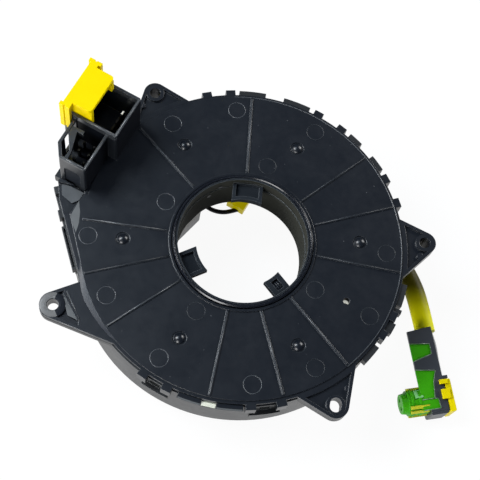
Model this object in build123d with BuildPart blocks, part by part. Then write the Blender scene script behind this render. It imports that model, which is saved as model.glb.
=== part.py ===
"""Steering clock spring: the fixed case, its sockets, the ribbon and the turning hub.

The part stands as it lies on a bench, column side up. The origin is on the axis
of the shaft bore, in the plane of the bore's wheel-side mouth, and +Z points to
the steering column. Sizes are in millimetres.
"""
from build123d import *
from math import atan2, cos, degrees, pi, radians, sin, tan
import os

os.makedirs("parts", exist_ok=True)

# Round case
barrel_length = 17.0
cover_radius = 53.0
cover_thickness = 2.5
rim_step_width = 1.0
rim_step_depth = 0.5
case_depth = 22.5
case_overhang = 0.4
case_wall = 1.6
lip_width = 1.4
lip_height = 0.8
running_gap = 0.3
flange_gap = 0.4

# Shaft bore and turning hub
bore_radius = 20.8
seat_length = 13.0
parting_step = 0.25
neck_wall = 0.8
neck_rise = 1.0
collar_wall = 1.0
collar_fit = 0.1
collar_rise = 1.5
collar_step = 1.5
collar_step_height = 2.5
hub_wall = 2.1
hub_foot_radius = 26.0
hub_foot_wall = 1.8
hub_web = 2.0
flange_thickness = 2.0

# Three lugs that stand into the bore
lug_inner_radius = 15.0
lug_drop = 1.0
lug_thickness = 2.2
lug_rim = 1.1
lug_pocket_depth = 1.1
lug_angles = (84.5, 204.5, 308.5)
lug_widths = (9.8, 8.8, 5.8)
lug_slot_width = 2.4

# Cover face
bead_width = 0.8
bead_height = 0.5
rib_width = 0.8
rib_height = 0.35
rib_angles = (15.5, 37.3, 86.5, 131.4, 173.7, 194.2, 215.0, 258.5, 284.0, 309.3, 350.0)
rib_inset = 0.5
dome_circle = 38.3
dome_radius = 1.8
dome_height = 1.1
dome_ring_width = 0.5
dome_ring_depth = 0.3
dome_angles = (1.5, 61.5, 120.0, 181.0, 239.0, 297.0)
index_hole_angle = 330.0
index_hole_radius = 1.1

# Ears: reach past the cover's edge, angle, root angles, length of the housing's boss, tip radius
ear_root_radius = 0.4
ear_hole_radius = 1.8
ear_socket_gap = 0.2
ear_slot_length = 4.6
ear_thickness = 2.5
ear_rim = 1.1
ear_boss_radius = 3.0
ear_pocket_depth = 0.9
ear_pin_radius = 1.1
ear_pin_height = 0.8
right_ear = (7.0, 1.8, 11.0, -12.0, 8.0, 3.7)
top_ear = (6.9, 119.4, 109.6, 136.0, 8.0, 3.8)
left_ear = (10.4, 201.3, 197.0, 222.4, 2.5, 4.2)
bottom_ear = (6.9, 298.7, 288.2, 313.0, 2.5, 4.2)
ears = (right_ear, top_ear, left_ear, bottom_ear)
ear_pins = ((5.2, 357.2), (4.6, 304.9), (5.3, 125.4))
ear_ridge_width = 0.7
ear_ridge_start = (6.0, 198.8)
ear_ridge_end = (5.0, 208.6)

# Clip tabs of the cover and clip bars of the housing
tab_width = 3.2
tab_reach = 1.8
tab_length = 4.6
tab_gap = 0.1
tab_angles = (17.0, 26.8, 51.3, 61.2, 94.2, 102.8, 235.4, 244.4, 272.7, 283.0, 326.3, 334.0)
bar_spans = ((30.6, 36.6), (42.4, 47.7), (64.9, 74.8), (81.4, 90.9))
bar_spans += ((248.4, 256.5), (261.4, 270.3), (315.0, 322.0), (338.6, 346.6))
bar_reach = 1.6
wide_bar_spans = ((328.2, 332.1), (335.9, 337.4))
wide_bar_reach = 2.2
bar_height = 3.2
bar_rise = 1.2
bar_cover_gap = 0.1
step_spans = ((235.6, 245.4), (272.9, 283.1))
step_top = 5.4
step_height = 3.2
step_reach = 1.5
window_angles = (78.0, 259.0, 39.0)
window_width = 4.4
window_height = 6.0
square_window_angles = (239.9, 277.9)
square_window_size = 3.4

# Shoulder that carries the case's left side over to the socket
shoulder_root = (-50.2, -17.4)
shoulder_corner = (-59.1, 13.0)
shoulder_depth = 17.5
shoulder_bar_root = 1.5
shoulder_bar_depth = 2.8
shoulder_bar_height = 3.0
shoulder_bars = ((7.6, 22.7, 1.5), (25.6, 28.5, 1.4), (34.2, 36.8, 0.8))
shoulder_slot = (8.4, 21.9)
shoulder_slot_width = 0.6
shoulder_rail = (7.6, 36.8, 0.7)
shoulder_rail_depth = 4.4
plate_corner = (-55.4, 7.4)
plate_foot = (-51.0, 14.5)
plate_tangent_angle = 199.0
ledge_drop = 1.6
ledge_reach = 8.0
lead_pocket_angle = 172.0
lead_pocket_reach = 2.8
lead_pocket_width = 10.0
lead_pocket_floor = 1.0

# Column socket: a frame turned to socket_angle, x outwards and y towards the left
socket_angle = 151.8
socket_inset = 3.9
socket_length = 19.4
socket_wall = 0.9
socket_far_side = -19.7
socket_divider = -3.8
socket_corner = 0.7
socket_rise = 16.8
socket_floor = 2.0
socket_foot_depth = 12.0
socket_case_gap = 0.1
foot_inset = 3.0
foot_overlap = 6.0
foot_clip_reach = 2.6
foot_clip_span = (6.0, 0.1)
foot_clip_height = 3.5
foot_clip_drop = 2.5
arch_width = 5.8
arch_height = 12.4
arch_depth = 0.4
arch_corner = 1.6
arch_middle = (4.9, 3.0)
side_socket_rise = 15.0
side_socket_inset = 2.9
side_socket_length = 12.3
side_socket_end = 10.2
side_socket_chamfer = 4.2
latch_outline = ((0.9, 1.2), (0.9, -1.3), (5.3, -1.5), (5.4, -0.2), (3.2, -0.3), (5.3, 6.9), (5.5, 9.4))
latch_outline += ((4.4, 9.4), (4.5, 6.6))
latch_middle = (1.8, -0.05)
latch_width = 2.5
latch_thickness = 1.2
latch_depth = 1.8
latch_drop = 0.2
window_sill = 3.2
window_bridge = 1.2
window_span = (-3.4, 3.4)
blade_width = 2.2
blade_thickness = 0.6
blade_height = 6.0
blade_pitch = 2.9
blade_inset = 4.9
pin_size = 0.7
pin_stations = (4.0, 7.5)
pin_rows = (-1.6, 1.6, 4.8)
pin_height = 4.5
pin_seat_depth = 1.2

# Press-down lock of the socket
lock_top_rise = 23.2
lock_plate_length = 9.0
lock_plate_width = 14.4
lock_plate_thickness = 1.5
lock_plate_corner = 1.1
lock_near_skirt_height = 7.5
lock_far_skirt_height = 5.4
lock_skirt_thickness = 1.2
lock_leg_height = 14.0
lock_near_leg_width = 3.6
lock_far_leg_width = 4.4
lock_bridge_drop = 0.8
lock_leg_thickness = 1.2
lock_gap = 0.3
lock_groove_width = 0.7
lock_groove_depth = 0.35

# Ribbon, carrier and rollers
ribbon_width = 9.0
ribbon_thickness = 0.35
roller_play = 0.05
roller_shift = 1.9
roller_count = 6
roller_fit = 0.05
roller_pin_radius = 1.2
ribbon_pitch = 1.1
ribbon_hub_gap = 0.6
ribbon_case_gap = 2.8
ribbon_clearance = 0.12
carrier_plate = 1.6
carrier_bore_gap = 7.0
carrier_band_height = 6.4
carrier_band_wall = 1.3
carrier_gap = 0.5

# Wheel side
foot_length = 7.5
peg_circle = 36.0
peg_angles = (205.0, 325.0)
peg_radius = 3.5
peg_chamfer = 0.8
peg_pad_radius = 5.0
wheel_rib_height = 0.8
wheel_rib_width = 1.0
wheel_rib_count = 18
header_angle = 265.0
header_circle = 36.0
header_width = 24.0
header_depth = 11.0
header_wall = 1.2
header_pins_per_row = 4
header_pin_pitch = 2.5
lead_block_angle = 138.0
lead_block_start = 21.6
lead_block_length = 16.0
lead_block_width = 12.6
lead_cap_height = 2.6
cap_hole_inset = 1.3
cap_hole_turn = 8.0
cap_hole_radius = 0.4
cap_hole_depth = 1.5

# Airbag lead
sleeve_radius = 3.4
sleeve_floor_gap = 0.1
sleeve_points = ((37.9, 20.5), (48.7, 13.9), (57.2, 5.4), (62.2, -4.4), (64.2, -13.5), (65.45, -21.1))
sleeve_fit = 0.15
boss_length = 8.0
boss_wall = 2.2
wire_radius = 0.65
wire_pitch = 1.8

# Right-angle airbag plug: a frame at its rear left corner, x along the plug
plug_corner = (58.65, -22.3)
plug_heading = -80.6
plug_length = 28.8
plug_thickness = 7.5
plug_height = 8.9
plug_back_wall = 1.7
plug_skin = 1.0
plug_top_overhang = 1.0
plug_side_inset = 1.4
plug_cap_length = 1.6
plug_cap_chamfer = 0.9
plug_top_slant = 0.8
plug_split = 0.1
plug_body_start = 1.1
plug_nose_station = 23.2
plug_nose_radius = 4.2
plug_nose_length = 8.7
plug_key_angles = (36.0, 58.0, 158.0, 216.0, 238.0, 338.0)
plug_key_width = 1.0
plug_key_rise = 0.65
plug_key_root = 0.55
plug_port_station = 16.4
plug_port_length = 1.0
plug_port_reach = 1.8
plug_lock_start = 17.7
plug_lock_length = 11.0
plug_lock_thickness = 2.0
plug_lock_gap = 0.3

# Horn lead and its small connector
horn_lead_radius = 0.8
horn_points = ((-22.9, 27.6), (-21.0, 29.7), (-18.3, 30.7), (-15.4, 30.3), (-13.1, 28.6), (-11.6, 25.8))
horn_points += ((-9.8, 23.5), (-7.1, 22.1), (-4.1, 21.6), (-0.9, 22.2), (2.1, 23.3))
horn_hole_fit = 0.05
horn_connector_corner = (2.9, 21.4)
horn_connector_heading = 60.0
horn_connector_width = 6.5
horn_connector_length = 14.0
horn_connector_height = 4.4

# Heights of the stack
cover_face_z = barrel_length
case_top_z = cover_face_z - cover_thickness
rim_z = cover_face_z - rim_step_depth
case_bottom_z = cover_face_z - case_depth
floor_z = case_bottom_z - foot_length
flange_bottom_z = case_bottom_z + lip_height + running_gap
flange_top_z = flange_bottom_z + flange_thickness
neck_top_z = cover_face_z + neck_rise
collar_top_z = cover_face_z + collar_rise
collar_step_top_z = case_top_z - running_gap
collar_bottom_z = collar_step_top_z - collar_step_height

# Radii of the stack
case_radius = cover_radius + case_overhang
chamber_radius = case_radius - case_wall
flange_radius = chamber_radius - flange_gap
neck_radius = bore_radius + neck_wall
collar_bore_radius = neck_radius + collar_fit
collar_radius = collar_bore_radius + collar_wall
cover_bore_radius = collar_radius + running_gap
hub_radius = bore_radius + hub_wall
hub_recess_radius = hub_foot_radius - hub_foot_wall
socket_inner = cover_radius - socket_inset
socket_outer = socket_inner + socket_length
side_socket_inner = socket_inner + side_socket_inset
side_socket_outer = side_socket_inner + side_socket_length
roller_radius = (chamber_radius - hub_foot_radius) / 4 - roller_play
roller_circle = (chamber_radius + hub_foot_radius) / 2 - roller_shift


def polar(radius, angle):
    """Point on a circle about the bore axis."""
    return (radius * cos(radians(angle)), radius * sin(radians(angle)))


def spot(radius, angle, height=0.0):
    """Place on a circle about the bore axis, turned to face outwards."""
    x, y = polar(radius, angle)
    return Location((x, y, height), (0, 0, angle))


def frame_at(corner, heading, height=0.0):
    """Level plane with its origin at a corner and its x axis along a heading."""
    x_dir = (cos(radians(heading)), sin(radians(heading)), 0)
    return Plane(origin=(corner[0], corner[1], height), x_dir=x_dir, z_dir=(0, 0, 1))


def finish(part, label):
    """Name a finished piece and write it out."""
    part.label = label
    export_step(part, f"parts/{label}.step")


def corner_radii(points):
    """Radius of the arc at each corner of a route: as large as its two runs allow."""
    radii = []
    for before, at, after in zip(points, points[1:], points[2:]):
        run_in = Vector(*at) - Vector(*before)
        run_out = Vector(*after) - Vector(*at)
        turn = radians(run_in.get_angle(run_out))
        radii.append(0.45 * min(run_in.length, run_out.length) / tan(turn / 2))
    return radii


def tube(points, radius, name):
    """Round tube along a route of straight runs joined by tangent arcs."""
    radii = corner_radii(points)
    print(name, "corner radii", [round(value, 1) for value in radii])
    with BuildPart() as swept:
        with BuildLine() as route:
            FilletPolyline(*points, radius=radii)
        with BuildSketch(Plane(origin=route.line @ 0, z_dir=route.line % 0)):
            Circle(radius)
        sweep(path=route.line)
    length = sum(edge.length for edge in route.line.edges())
    volume_share = swept.part.volume / (pi * radius**2 * length)
    print(name, "length", round(length, 1), "volume share", round(volume_share, 4))
    return swept.part


# Outline of each ear: a rounded triangle from its screw hole back to the rim, clear of the socket
socket_frame = frame_at((0, 0), socket_angle)
socket_middle_y = (socket_far_side + socket_divider) / 2
socket_middle = socket_frame.from_local_coords(((socket_inner + socket_outer) / 2, socket_middle_y, 0))
socket_clearance = socket_divider - socket_far_side + 2 * ear_socket_gap
ear_outlines = []
ear_holes = []
for reach, angle, first_root, second_root, boss_depth, tip_radius in ears:
    hole = polar(cover_radius + reach, angle)
    with BuildSketch() as ear_outline:
        with Locations(hole):
            Circle(tip_radius)
        with Locations(polar(cover_radius - 1, first_root), polar(cover_radius - 1, second_root)):
            Circle(ear_root_radius)
        make_hull()
        with Locations(Location((socket_middle.X, socket_middle.Y, 0), (0, 0, socket_angle))):
            Rectangle(socket_length + 2 * ear_socket_gap, socket_clearance, mode=Mode.SUBTRACT)
    ear_outlines.append(ear_outline.sketch)
    ear_holes.append(hole)
slot_ear_hole = ear_holes[-1]

# Places in the socket's frame where the shoulder meets the socket's near face
shoulder_edge_y = side_socket_end + socket_case_gap + 0.1
shoulder_outer = socket_frame.from_local_coords((side_socket_outer - 3.0, shoulder_edge_y, 0))
shoulder_inner = socket_frame.from_local_coords((side_socket_inner + 1.0, shoulder_edge_y, 0))
shoulder_points = (
    shoulder_root,
    shoulder_corner,
    (shoulder_outer.X - 0.9, shoulder_outer.Y - 0.9),
    (shoulder_outer.X, shoulder_outer.Y),
    (shoulder_inner.X, shoulder_inner.Y),
    polar(cover_radius - 6.0, socket_angle + 15.0),
)
with BuildSketch() as shoulder_outline:
    with BuildLine():
        Polyline(*shoulder_points, close=True)
    make_face()
shoulder_heading = degrees(
    atan2(shoulder_corner[1] - shoulder_root[1], shoulder_corner[0] - shoulder_root[0])
)


# Cover on the column side
with BuildPart() as column_cover:
    with BuildSketch(Plane.XY.offset(case_top_z)):
        Circle(cover_radius)
        add(shoulder_outline.sketch)
        for outline in ear_outlines:
            add(outline)
    extrude(amount=rim_z - case_top_z)
    with BuildSketch(Plane.XY.offset(rim_z)):
        Circle(cover_radius - rim_step_width)
        with BuildLine():
            plate_tangent = polar(cover_radius - rim_step_width, plate_tangent_angle)
            Polyline(plate_tangent, plate_corner, plate_foot, (0, 0), close=True)
        make_face()
    extrude(amount=rim_step_depth)
    for index, (outline, hole) in enumerate(zip(ear_outlines, ear_holes)):
        with BuildSketch(Plane.XY.offset(rim_z)):
            add(outline)
            offset(amount=-ear_rim, kind=Kind.INTERSECTION)
            with Locations(hole):
                Circle(ear_boss_radius, mode=Mode.SUBTRACT)
            Circle(cover_radius + ear_rim, mode=Mode.SUBTRACT)
        extrude(amount=-ear_pocket_depth, mode=Mode.SUBTRACT)
    ear_pin_z = rim_z - ear_pocket_depth
    with Locations(*[spot(cover_radius + reach, angle, ear_pin_z) for reach, angle in ear_pins]):
        Cylinder(ear_pin_radius, ear_pin_height, align=(Align.CENTER, Align.CENTER, Align.MIN))
    # Left ear: its pocket ends at a slanting ridge, and the rest is filled up to the rim
    ridge_start = polar(cover_radius + ear_ridge_start[0], ear_ridge_start[1])
    ridge_end = polar(cover_radius + ear_ridge_end[0], ear_ridge_end[1])
    with BuildSketch(Plane.XY.offset(ear_pin_z)):
        add(ear_outlines[2])
        with BuildLine():
            below_ridge = (ridge_end[0], -2 * cover_radius)
            Polyline(ridge_start, ridge_end, below_ridge, (0, 0), (ridge_start[0], 0), close=True)
        make_face(mode=Mode.INTERSECT)
    extrude(amount=ear_pocket_depth)
    with BuildSketch(Plane.XY.offset(rim_z - ear_pocket_depth)):
        with BuildLine():
            Line(ridge_start, ridge_end)
        trace(line_width=ear_ridge_width)
    extrude(amount=ear_pocket_depth + rib_height)
    with Locations(*[(x, y, rim_z) for x, y in ear_holes[:-1]]):
        Hole(ear_hole_radius)
    with BuildSketch(Plane.XY.offset(rim_z)):
        with Locations(Location((*slot_ear_hole, 0), (0, 0, 80))):
            SlotOverall(ear_slot_length, 2 * ear_hole_radius)
    extrude(amount=-cover_thickness, mode=Mode.SUBTRACT)
    # Ledge in front of the socket, below the raised plate's slanting end
    ledge_points = (plate_foot, plate_corner, (plate_corner[0] - ledge_reach, plate_corner[1]))
    ledge_points += ((shoulder_outer.X - ledge_reach, shoulder_outer.Y),)
    ledge_points += ((shoulder_inner.X, shoulder_inner.Y + 1.0),)
    with BuildSketch(Plane.XY.offset(rim_z)):
        with BuildLine():
            Polyline(*ledge_points, close=True)
        make_face()
        Circle(cover_radius, mode=Mode.SUBTRACT)
    extrude(amount=-ledge_drop, mode=Mode.SUBTRACT)
    # Clip tabs that hang outside the housing's wall
    tab_middle = cover_radius + tab_reach / 2
    with Locations(*[spot(tab_middle - 0.3, angle, rim_z) for angle in tab_angles]):
        Box(tab_reach + 0.6, tab_width, rim_z - case_top_z, align=(Align.CENTER, Align.CENTER, Align.MAX))
    tab_leg = cover_radius + tab_reach - case_radius - tab_gap
    leg_middle = cover_radius + tab_reach - tab_leg / 2
    with Locations(*[spot(leg_middle, angle, rim_z) for angle in tab_angles]):
        Box(tab_leg, tab_width, tab_length, align=(Align.CENTER, Align.CENTER, Align.MAX))
    # Raised bead, radial ribs and rest domes on the face
    with BuildSketch(Plane.XY.offset(cover_face_z)):
        Circle(cover_bore_radius + bead_width)
    extrude(amount=bead_height)
    rib_start = cover_bore_radius + bead_width / 2
    rib_end = cover_radius - rim_step_width - rib_inset
    rib_middle = (rib_start + rib_end) / 2
    with Locations(*[spot(rib_middle, angle, cover_face_z) for angle in rib_angles]):
        Box(rib_end - rib_start, rib_width, rib_height, align=(Align.CENTER, Align.CENTER, Align.MIN))
    with Locations(*[spot(dome_circle, angle, cover_face_z) for angle in dome_angles]):
        Cylinder(
            dome_radius + dome_ring_width,
            dome_ring_depth,
            align=(Align.CENTER, Align.CENTER, Align.MAX),
            mode=Mode.SUBTRACT,
        )
    dome_sphere = (dome_radius**2 + dome_height**2) / (2 * dome_height)
    with BuildSketch(Plane.XZ) as dome_half:
        with BuildLine():
            foot_z = cover_face_z - dome_ring_depth - 0.2
            top_z = cover_face_z + dome_height - dome_ring_depth
            bend_z = top_z - dome_sphere + (dome_sphere**2 - (dome_radius * 0.7) ** 2) ** 0.5
            Line((dome_circle, foot_z), (dome_circle + dome_radius, foot_z))
            dome_edge = (dome_circle + dome_radius, cover_face_z - dome_ring_depth)
            Line((dome_circle + dome_radius, foot_z), dome_edge)
            ThreePointArc(
                dome_edge,
                (dome_circle + dome_radius * 0.7, bend_z),
                (dome_circle, top_z),
            )
            Line((dome_circle, top_z), (dome_circle, foot_z))
        make_face()
    dome = revolve(dome_half.sketch, axis=Axis((dome_circle, 0, 0), (0, 0, 1)), mode=Mode.PRIVATE)
    with Locations(*[Location((0, 0, 0), (0, 0, angle)) for angle in dome_angles]):
        add(dome)
    with Locations(spot(dome_circle, index_hole_angle, cover_face_z)):
        Hole(index_hole_radius)
    with Locations((0, 0, collar_top_z)):
        Hole(cover_bore_radius)
finish(column_cover.part, "column_cover")


# Housing: ring wall, lower ears, clip bars, shoulder with the lead pocket
window_middle_z = case_top_z - window_height / 2
with BuildPart() as stator_housing:
    with BuildSketch(Plane.XY.offset(case_bottom_z)):
        Circle(case_radius)
    extrude(amount=case_top_z - case_bottom_z)
    with BuildSketch(Plane.XY.offset(case_top_z)):
        for outline in ear_outlines:
            add(outline)
    extrude(amount=-ear_thickness)
    with BuildSketch(Plane.XY.offset(case_top_z)):
        add(shoulder_outline.sketch)
    extrude(amount=-shoulder_depth)
    for hole, ear in zip(ear_holes, ears):
        with Locations((hole[0], hole[1], case_top_z)):
            Cylinder(ear_boss_radius, ear[4], align=(Align.CENTER, Align.CENTER, Align.MAX))
    # Clip bars round the wall and the long loop along the shoulder
    bar_top_z = case_top_z + bar_rise
    bars = [(span, bar_top_z, bar_reach, bar_height) for span in bar_spans]
    bars += [(span, bar_top_z, wide_bar_reach, bar_height) for span in wide_bar_spans]
    bars += [(span, case_top_z - step_top, step_reach, step_height) for span in step_spans]
    bar_root = cover_radius + bar_cover_gap
    for (first, last), level, reach, height in bars:
        with BuildSketch(Plane.XY.offset(level)):
            with BuildLine():
                CenterArc((0, 0), case_radius + reach, first, last - first)
                Line(polar(case_radius + reach, last), polar(bar_root, last))
                CenterArc((0, 0), bar_root, last, first - last)
                Line(polar(bar_root, first), polar(case_radius + reach, first))
            make_face()
        extrude(amount=-height)
    with BuildSketch(frame_at(shoulder_root, shoulder_heading, rim_z - shoulder_bar_depth)):
        for first, last, reach in shoulder_bars:
            with Locations(((first + last) / 2, (reach - shoulder_bar_root) / 2)):
                Rectangle(last - first, reach + shoulder_bar_root)
    extrude(amount=-shoulder_bar_height)
    rail_first, rail_last, rail_reach = shoulder_rail
    with BuildSketch(frame_at(shoulder_root, shoulder_heading, rim_z - shoulder_rail_depth)):
        with Locations(((rail_first + rail_last) / 2, (rail_reach - shoulder_bar_root) / 2)):
            Rectangle(rail_last - rail_first, rail_reach + shoulder_bar_root)
    extrude(amount=-shoulder_bar_height)
    with BuildSketch(frame_at(shoulder_root, shoulder_heading, rim_z - shoulder_bar_depth)):
        with Locations(((shoulder_slot[0] + shoulder_slot[1]) / 2, shoulder_bars[0][2] / 2)):
            Rectangle(shoulder_slot[1] - shoulder_slot[0], shoulder_slot_width)
    extrude(amount=-shoulder_bar_height / 2, mode=Mode.SUBTRACT)
    # Chamber, bottom lip and lead pocket
    with BuildSketch(Plane.XY.offset(case_bottom_z + lip_height)):
        Circle(chamber_radius)
    extrude(amount=case_depth, mode=Mode.SUBTRACT)
    with BuildSketch(Plane.XY.offset(case_bottom_z)):
        Circle(chamber_radius - lip_width)
    extrude(amount=lip_height, mode=Mode.SUBTRACT)
    pocket_floor_z = case_top_z - shoulder_depth + lead_pocket_floor
    with BuildSketch(Plane.XY.offset(pocket_floor_z)):
        with Locations(spot(chamber_radius + lead_pocket_reach / 2 - 1.0, lead_pocket_angle)):
            Rectangle(lead_pocket_reach + 2.0, lead_pocket_width)
    extrude(amount=shoulder_depth, mode=Mode.SUBTRACT)
    # Windows over the carrier's white band, and square clip windows
    with Locations(*[spot(case_radius, angle, case_top_z) for angle in window_angles]):
        Box(
            4 * case_wall,
            window_width,
            window_height,
            align=(Align.CENTER, Align.CENTER, Align.MAX),
            mode=Mode.SUBTRACT,
        )
    with Locations(*[spot(case_radius, angle, window_middle_z) for angle in square_window_angles]):
        Box(4 * case_wall, square_window_size, square_window_size, mode=Mode.SUBTRACT)
    with Locations(*[(x, y, case_top_z) for x, y in ear_holes[:-1]]):
        Hole(ear_hole_radius)
    with BuildSketch(Plane.XY.offset(case_top_z)):
        with Locations(Location((*slot_ear_hole, 0), (0, 0, 80))):
            SlotOverall(ear_slot_length, 2 * ear_hole_radius)
    extrude(amount=-ear_thickness, mode=Mode.SUBTRACT)
finish(stator_housing.part, "stator_housing")


# Column socket: main cavity, lower side cavity, latch arm and the foot outside the wall
side_top_z = cover_face_z + side_socket_rise
socket_floor_z = cover_face_z + socket_floor
main_near = socket_divider - socket_wall
main_far = socket_far_side + socket_wall
main_start = socket_inner + socket_wall
main_end = socket_outer - socket_wall
side_start = side_socket_inner + socket_wall
side_end = side_socket_end - socket_wall
blade_x = socket_inner + blade_inset
blade_middle_y = (main_near + main_far) / 2
blade_places = [(blade_x, blade_middle_y + (step - 1.5) * blade_pitch) for step in range(4)]
pin_places = [(side_socket_inner + x, y) for x in pin_stations for y in pin_rows]
side_outline = (
    (side_socket_inner, socket_divider - socket_wall / 2),
    (side_socket_inner, side_socket_end),
    (side_socket_outer - side_socket_chamfer * 0.7, side_socket_end),
    (side_socket_outer, side_socket_end - side_socket_chamfer),
    (side_socket_outer, socket_divider - socket_wall / 2),
)
with BuildPart() as column_connector:
    with BuildSketch(frame_at((0, 0), socket_angle, cover_face_z)):
        with BuildLine():
            Polyline(
                (socket_inner, socket_divider),
                (socket_inner, socket_far_side),
                (socket_outer, socket_far_side),
                (socket_outer, socket_divider),
                close=True,
            )
        make_face()
        fillet(vertices(), radius=socket_corner)
    extrude(amount=socket_rise)
    with BuildSketch(frame_at((0, 0), socket_angle, cover_face_z)):
        with BuildLine():
            FilletPolyline(*side_outline, radius=[socket_corner] * 3)
            Line(side_outline[-1], side_outline[0])
        make_face()
    extrude(amount=side_socket_rise)
    # Foot that goes down outside the case
    with BuildSketch(frame_at((0, 0), socket_angle, cover_face_z)):
        with BuildLine():
            Polyline(
                (side_socket_inner - foot_overlap, socket_far_side),
                (socket_outer - foot_inset, socket_far_side),
                (socket_outer - foot_inset, socket_divider),
                (side_socket_outer - foot_inset, side_socket_end),
                (side_socket_inner - foot_overlap, side_socket_end),
                close=True,
            )
        make_face()
        Circle(case_radius + socket_case_gap, mode=Mode.SUBTRACT)
    extrude(amount=-socket_foot_depth)
    with BuildSketch(frame_at((0, 0), socket_angle, cover_face_z - foot_clip_drop)):
        with Locations((side_socket_outer - foot_inset, side_socket_end - sum(foot_clip_span) / 2)):
            Rectangle(2 * foot_clip_reach, foot_clip_span[0] - foot_clip_span[1])
    extrude(amount=-foot_clip_height)
    with BuildSketch(frame_at((0, 0), socket_angle, socket_floor_z)):
        with BuildLine():
            Polyline(
                (main_start, main_near),
                (main_start, main_far),
                (main_end, main_far),
                (main_end, main_near),
                close=True,
            )
        make_face()
        fillet(vertices(), radius=0.4)
    extrude(amount=socket_rise, mode=Mode.SUBTRACT)
    with BuildSketch(frame_at((0, 0), socket_angle, socket_floor_z)):
        with BuildLine():
            Polyline(
                (side_start, socket_divider),
                (side_start, side_end),
                (side_socket_outer - side_socket_chamfer * 0.7 - 0.6, side_end),
                (side_socket_outer - socket_wall, side_socket_end - side_socket_chamfer - 0.6),
                (side_socket_outer - socket_wall, socket_divider),
                close=True,
            )
        make_face()
    extrude(amount=side_socket_rise, mode=Mode.SUBTRACT)
    # Window in the outer wall beside the latch arm, and the arm with its hook
    with BuildSketch(frame_at((0, 0), socket_angle, cover_face_z + window_sill)):
        with Locations((side_socket_outer, (window_span[0] + window_span[1]) / 2)):
            Rectangle(3 * socket_wall, window_span[1] - window_span[0])
    extrude(amount=side_socket_rise - window_sill - window_bridge, mode=Mode.SUBTRACT)
    with BuildSketch(frame_at((0, 0), socket_angle, socket_floor_z)):
        with Locations((side_socket_outer - latch_middle[0], latch_middle[1])):
            Rectangle(latch_thickness, latch_width)
    extrude(amount=side_socket_rise - socket_floor - latch_drop - latch_depth / 2)
    with BuildSketch(frame_at((0, 0), socket_angle, side_top_z - latch_drop)):
        with BuildLine():
            Polyline(*[(side_socket_outer - x, y) for x, y in latch_outline], close=True)
        make_face()
    extrude(amount=-latch_depth)
    # Arched recess in the near face
    arch_origin = socket_frame.from_local_coords(
        (side_socket_inner + arch_middle[0], side_socket_end, cover_face_z + arch_middle[1])
    )
    with BuildSketch(Plane(origin=arch_origin, x_dir=socket_frame.x_dir, z_dir=socket_frame.y_dir)):
        RectangleRounded(arch_width, arch_height, arch_corner)
    extrude(amount=-arch_depth, mode=Mode.SUBTRACT)
    # Seats of the terminals in the floors
    with BuildSketch(frame_at((0, 0), socket_angle, socket_floor_z)):
        with Locations(*blade_places):
            Rectangle(blade_thickness, blade_width)
        with Locations(*pin_places):
            Rectangle(pin_size, pin_size)
    extrude(amount=-pin_seat_depth, mode=Mode.SUBTRACT)
finish(column_connector.part, "column_connector")

with BuildPart() as airbag_terminals:
    with BuildSketch(frame_at((0, 0), socket_angle, socket_floor_z - pin_seat_depth)):
        with Locations(*blade_places):
            Rectangle(blade_thickness, blade_width)
    extrude(amount=blade_height + pin_seat_depth)
finish(airbag_terminals.part, "airbag_terminals")

with BuildPart() as switch_terminals:
    with BuildSketch(frame_at((0, 0), socket_angle, socket_floor_z - pin_seat_depth)):
        with Locations(*pin_places):
            Rectangle(pin_size, pin_size)
    extrude(amount=pin_height + pin_seat_depth)
finish(switch_terminals.part, "switch_terminals")


# Lock: top plate, two skirts inside the cavity, two gripped legs outside the box
lock_top_z = cover_face_z + lock_top_rise
lock_outer = main_end - lock_gap + 0.2
lock_inner = lock_outer - lock_plate_length
lock_middle_x = (lock_outer + lock_inner) / 2
skirt_outer = main_end - lock_gap
skirt_near = main_near - lock_gap - lock_skirt_thickness / 2
skirt_far = main_far + lock_gap + lock_skirt_thickness / 2
leg_offset = lock_gap + lock_leg_thickness / 2
leg_near = socket_divider + leg_offset
leg_far = socket_far_side - leg_offset
lock_legs = ((leg_near, lock_near_leg_width, 1), (leg_far, lock_far_leg_width, -1))
bridge_length = lock_near_leg_width - lock_bridge_drop
with BuildPart() as connector_lock:
    with BuildSketch(frame_at((0, 0), socket_angle, lock_top_z)):
        with Locations((lock_middle_x, socket_middle_y)):
            RectangleRounded(lock_plate_length, lock_plate_width, lock_plate_corner)
    extrude(amount=-lock_plate_thickness)
    for skirt_y, skirt_height in ((skirt_near, lock_near_skirt_height), (skirt_far, lock_far_skirt_height)):
        with BuildSketch(frame_at((0, 0), socket_angle, lock_top_z - lock_plate_thickness)):
            with Locations(((lock_inner + skirt_outer) / 2, skirt_y)):
                Rectangle(skirt_outer - lock_inner, lock_skirt_thickness)
        extrude(amount=-skirt_height)
    with BuildSketch(frame_at((0, 0), socket_angle, lock_top_z)):
        with Locations((socket_outer - lock_bridge_drop - bridge_length / 2, socket_middle_y)):
            Rectangle(bridge_length, leg_near - leg_far)
    extrude(amount=-lock_plate_thickness)
    with BuildSketch(frame_at((0, 0), socket_angle, lock_top_z)):
        for leg_y, leg_width, side in lock_legs:
            with Locations((socket_outer - leg_width / 2, leg_y)):
                Rectangle(leg_width, lock_leg_thickness)
    extrude(amount=-lock_leg_height)
    # One groove down the outside of each leg
    with BuildSketch(frame_at((0, 0), socket_angle, lock_top_z)):
        for leg_y, leg_width, side in lock_legs:
            with Locations((socket_outer - leg_width / 2, leg_y + side * lock_leg_thickness / 2)):
                Rectangle(lock_groove_width, 2 * lock_groove_depth)
    extrude(amount=-lock_leg_height, mode=Mode.SUBTRACT)
finish(connector_lock.part, "connector_lock")


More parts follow.
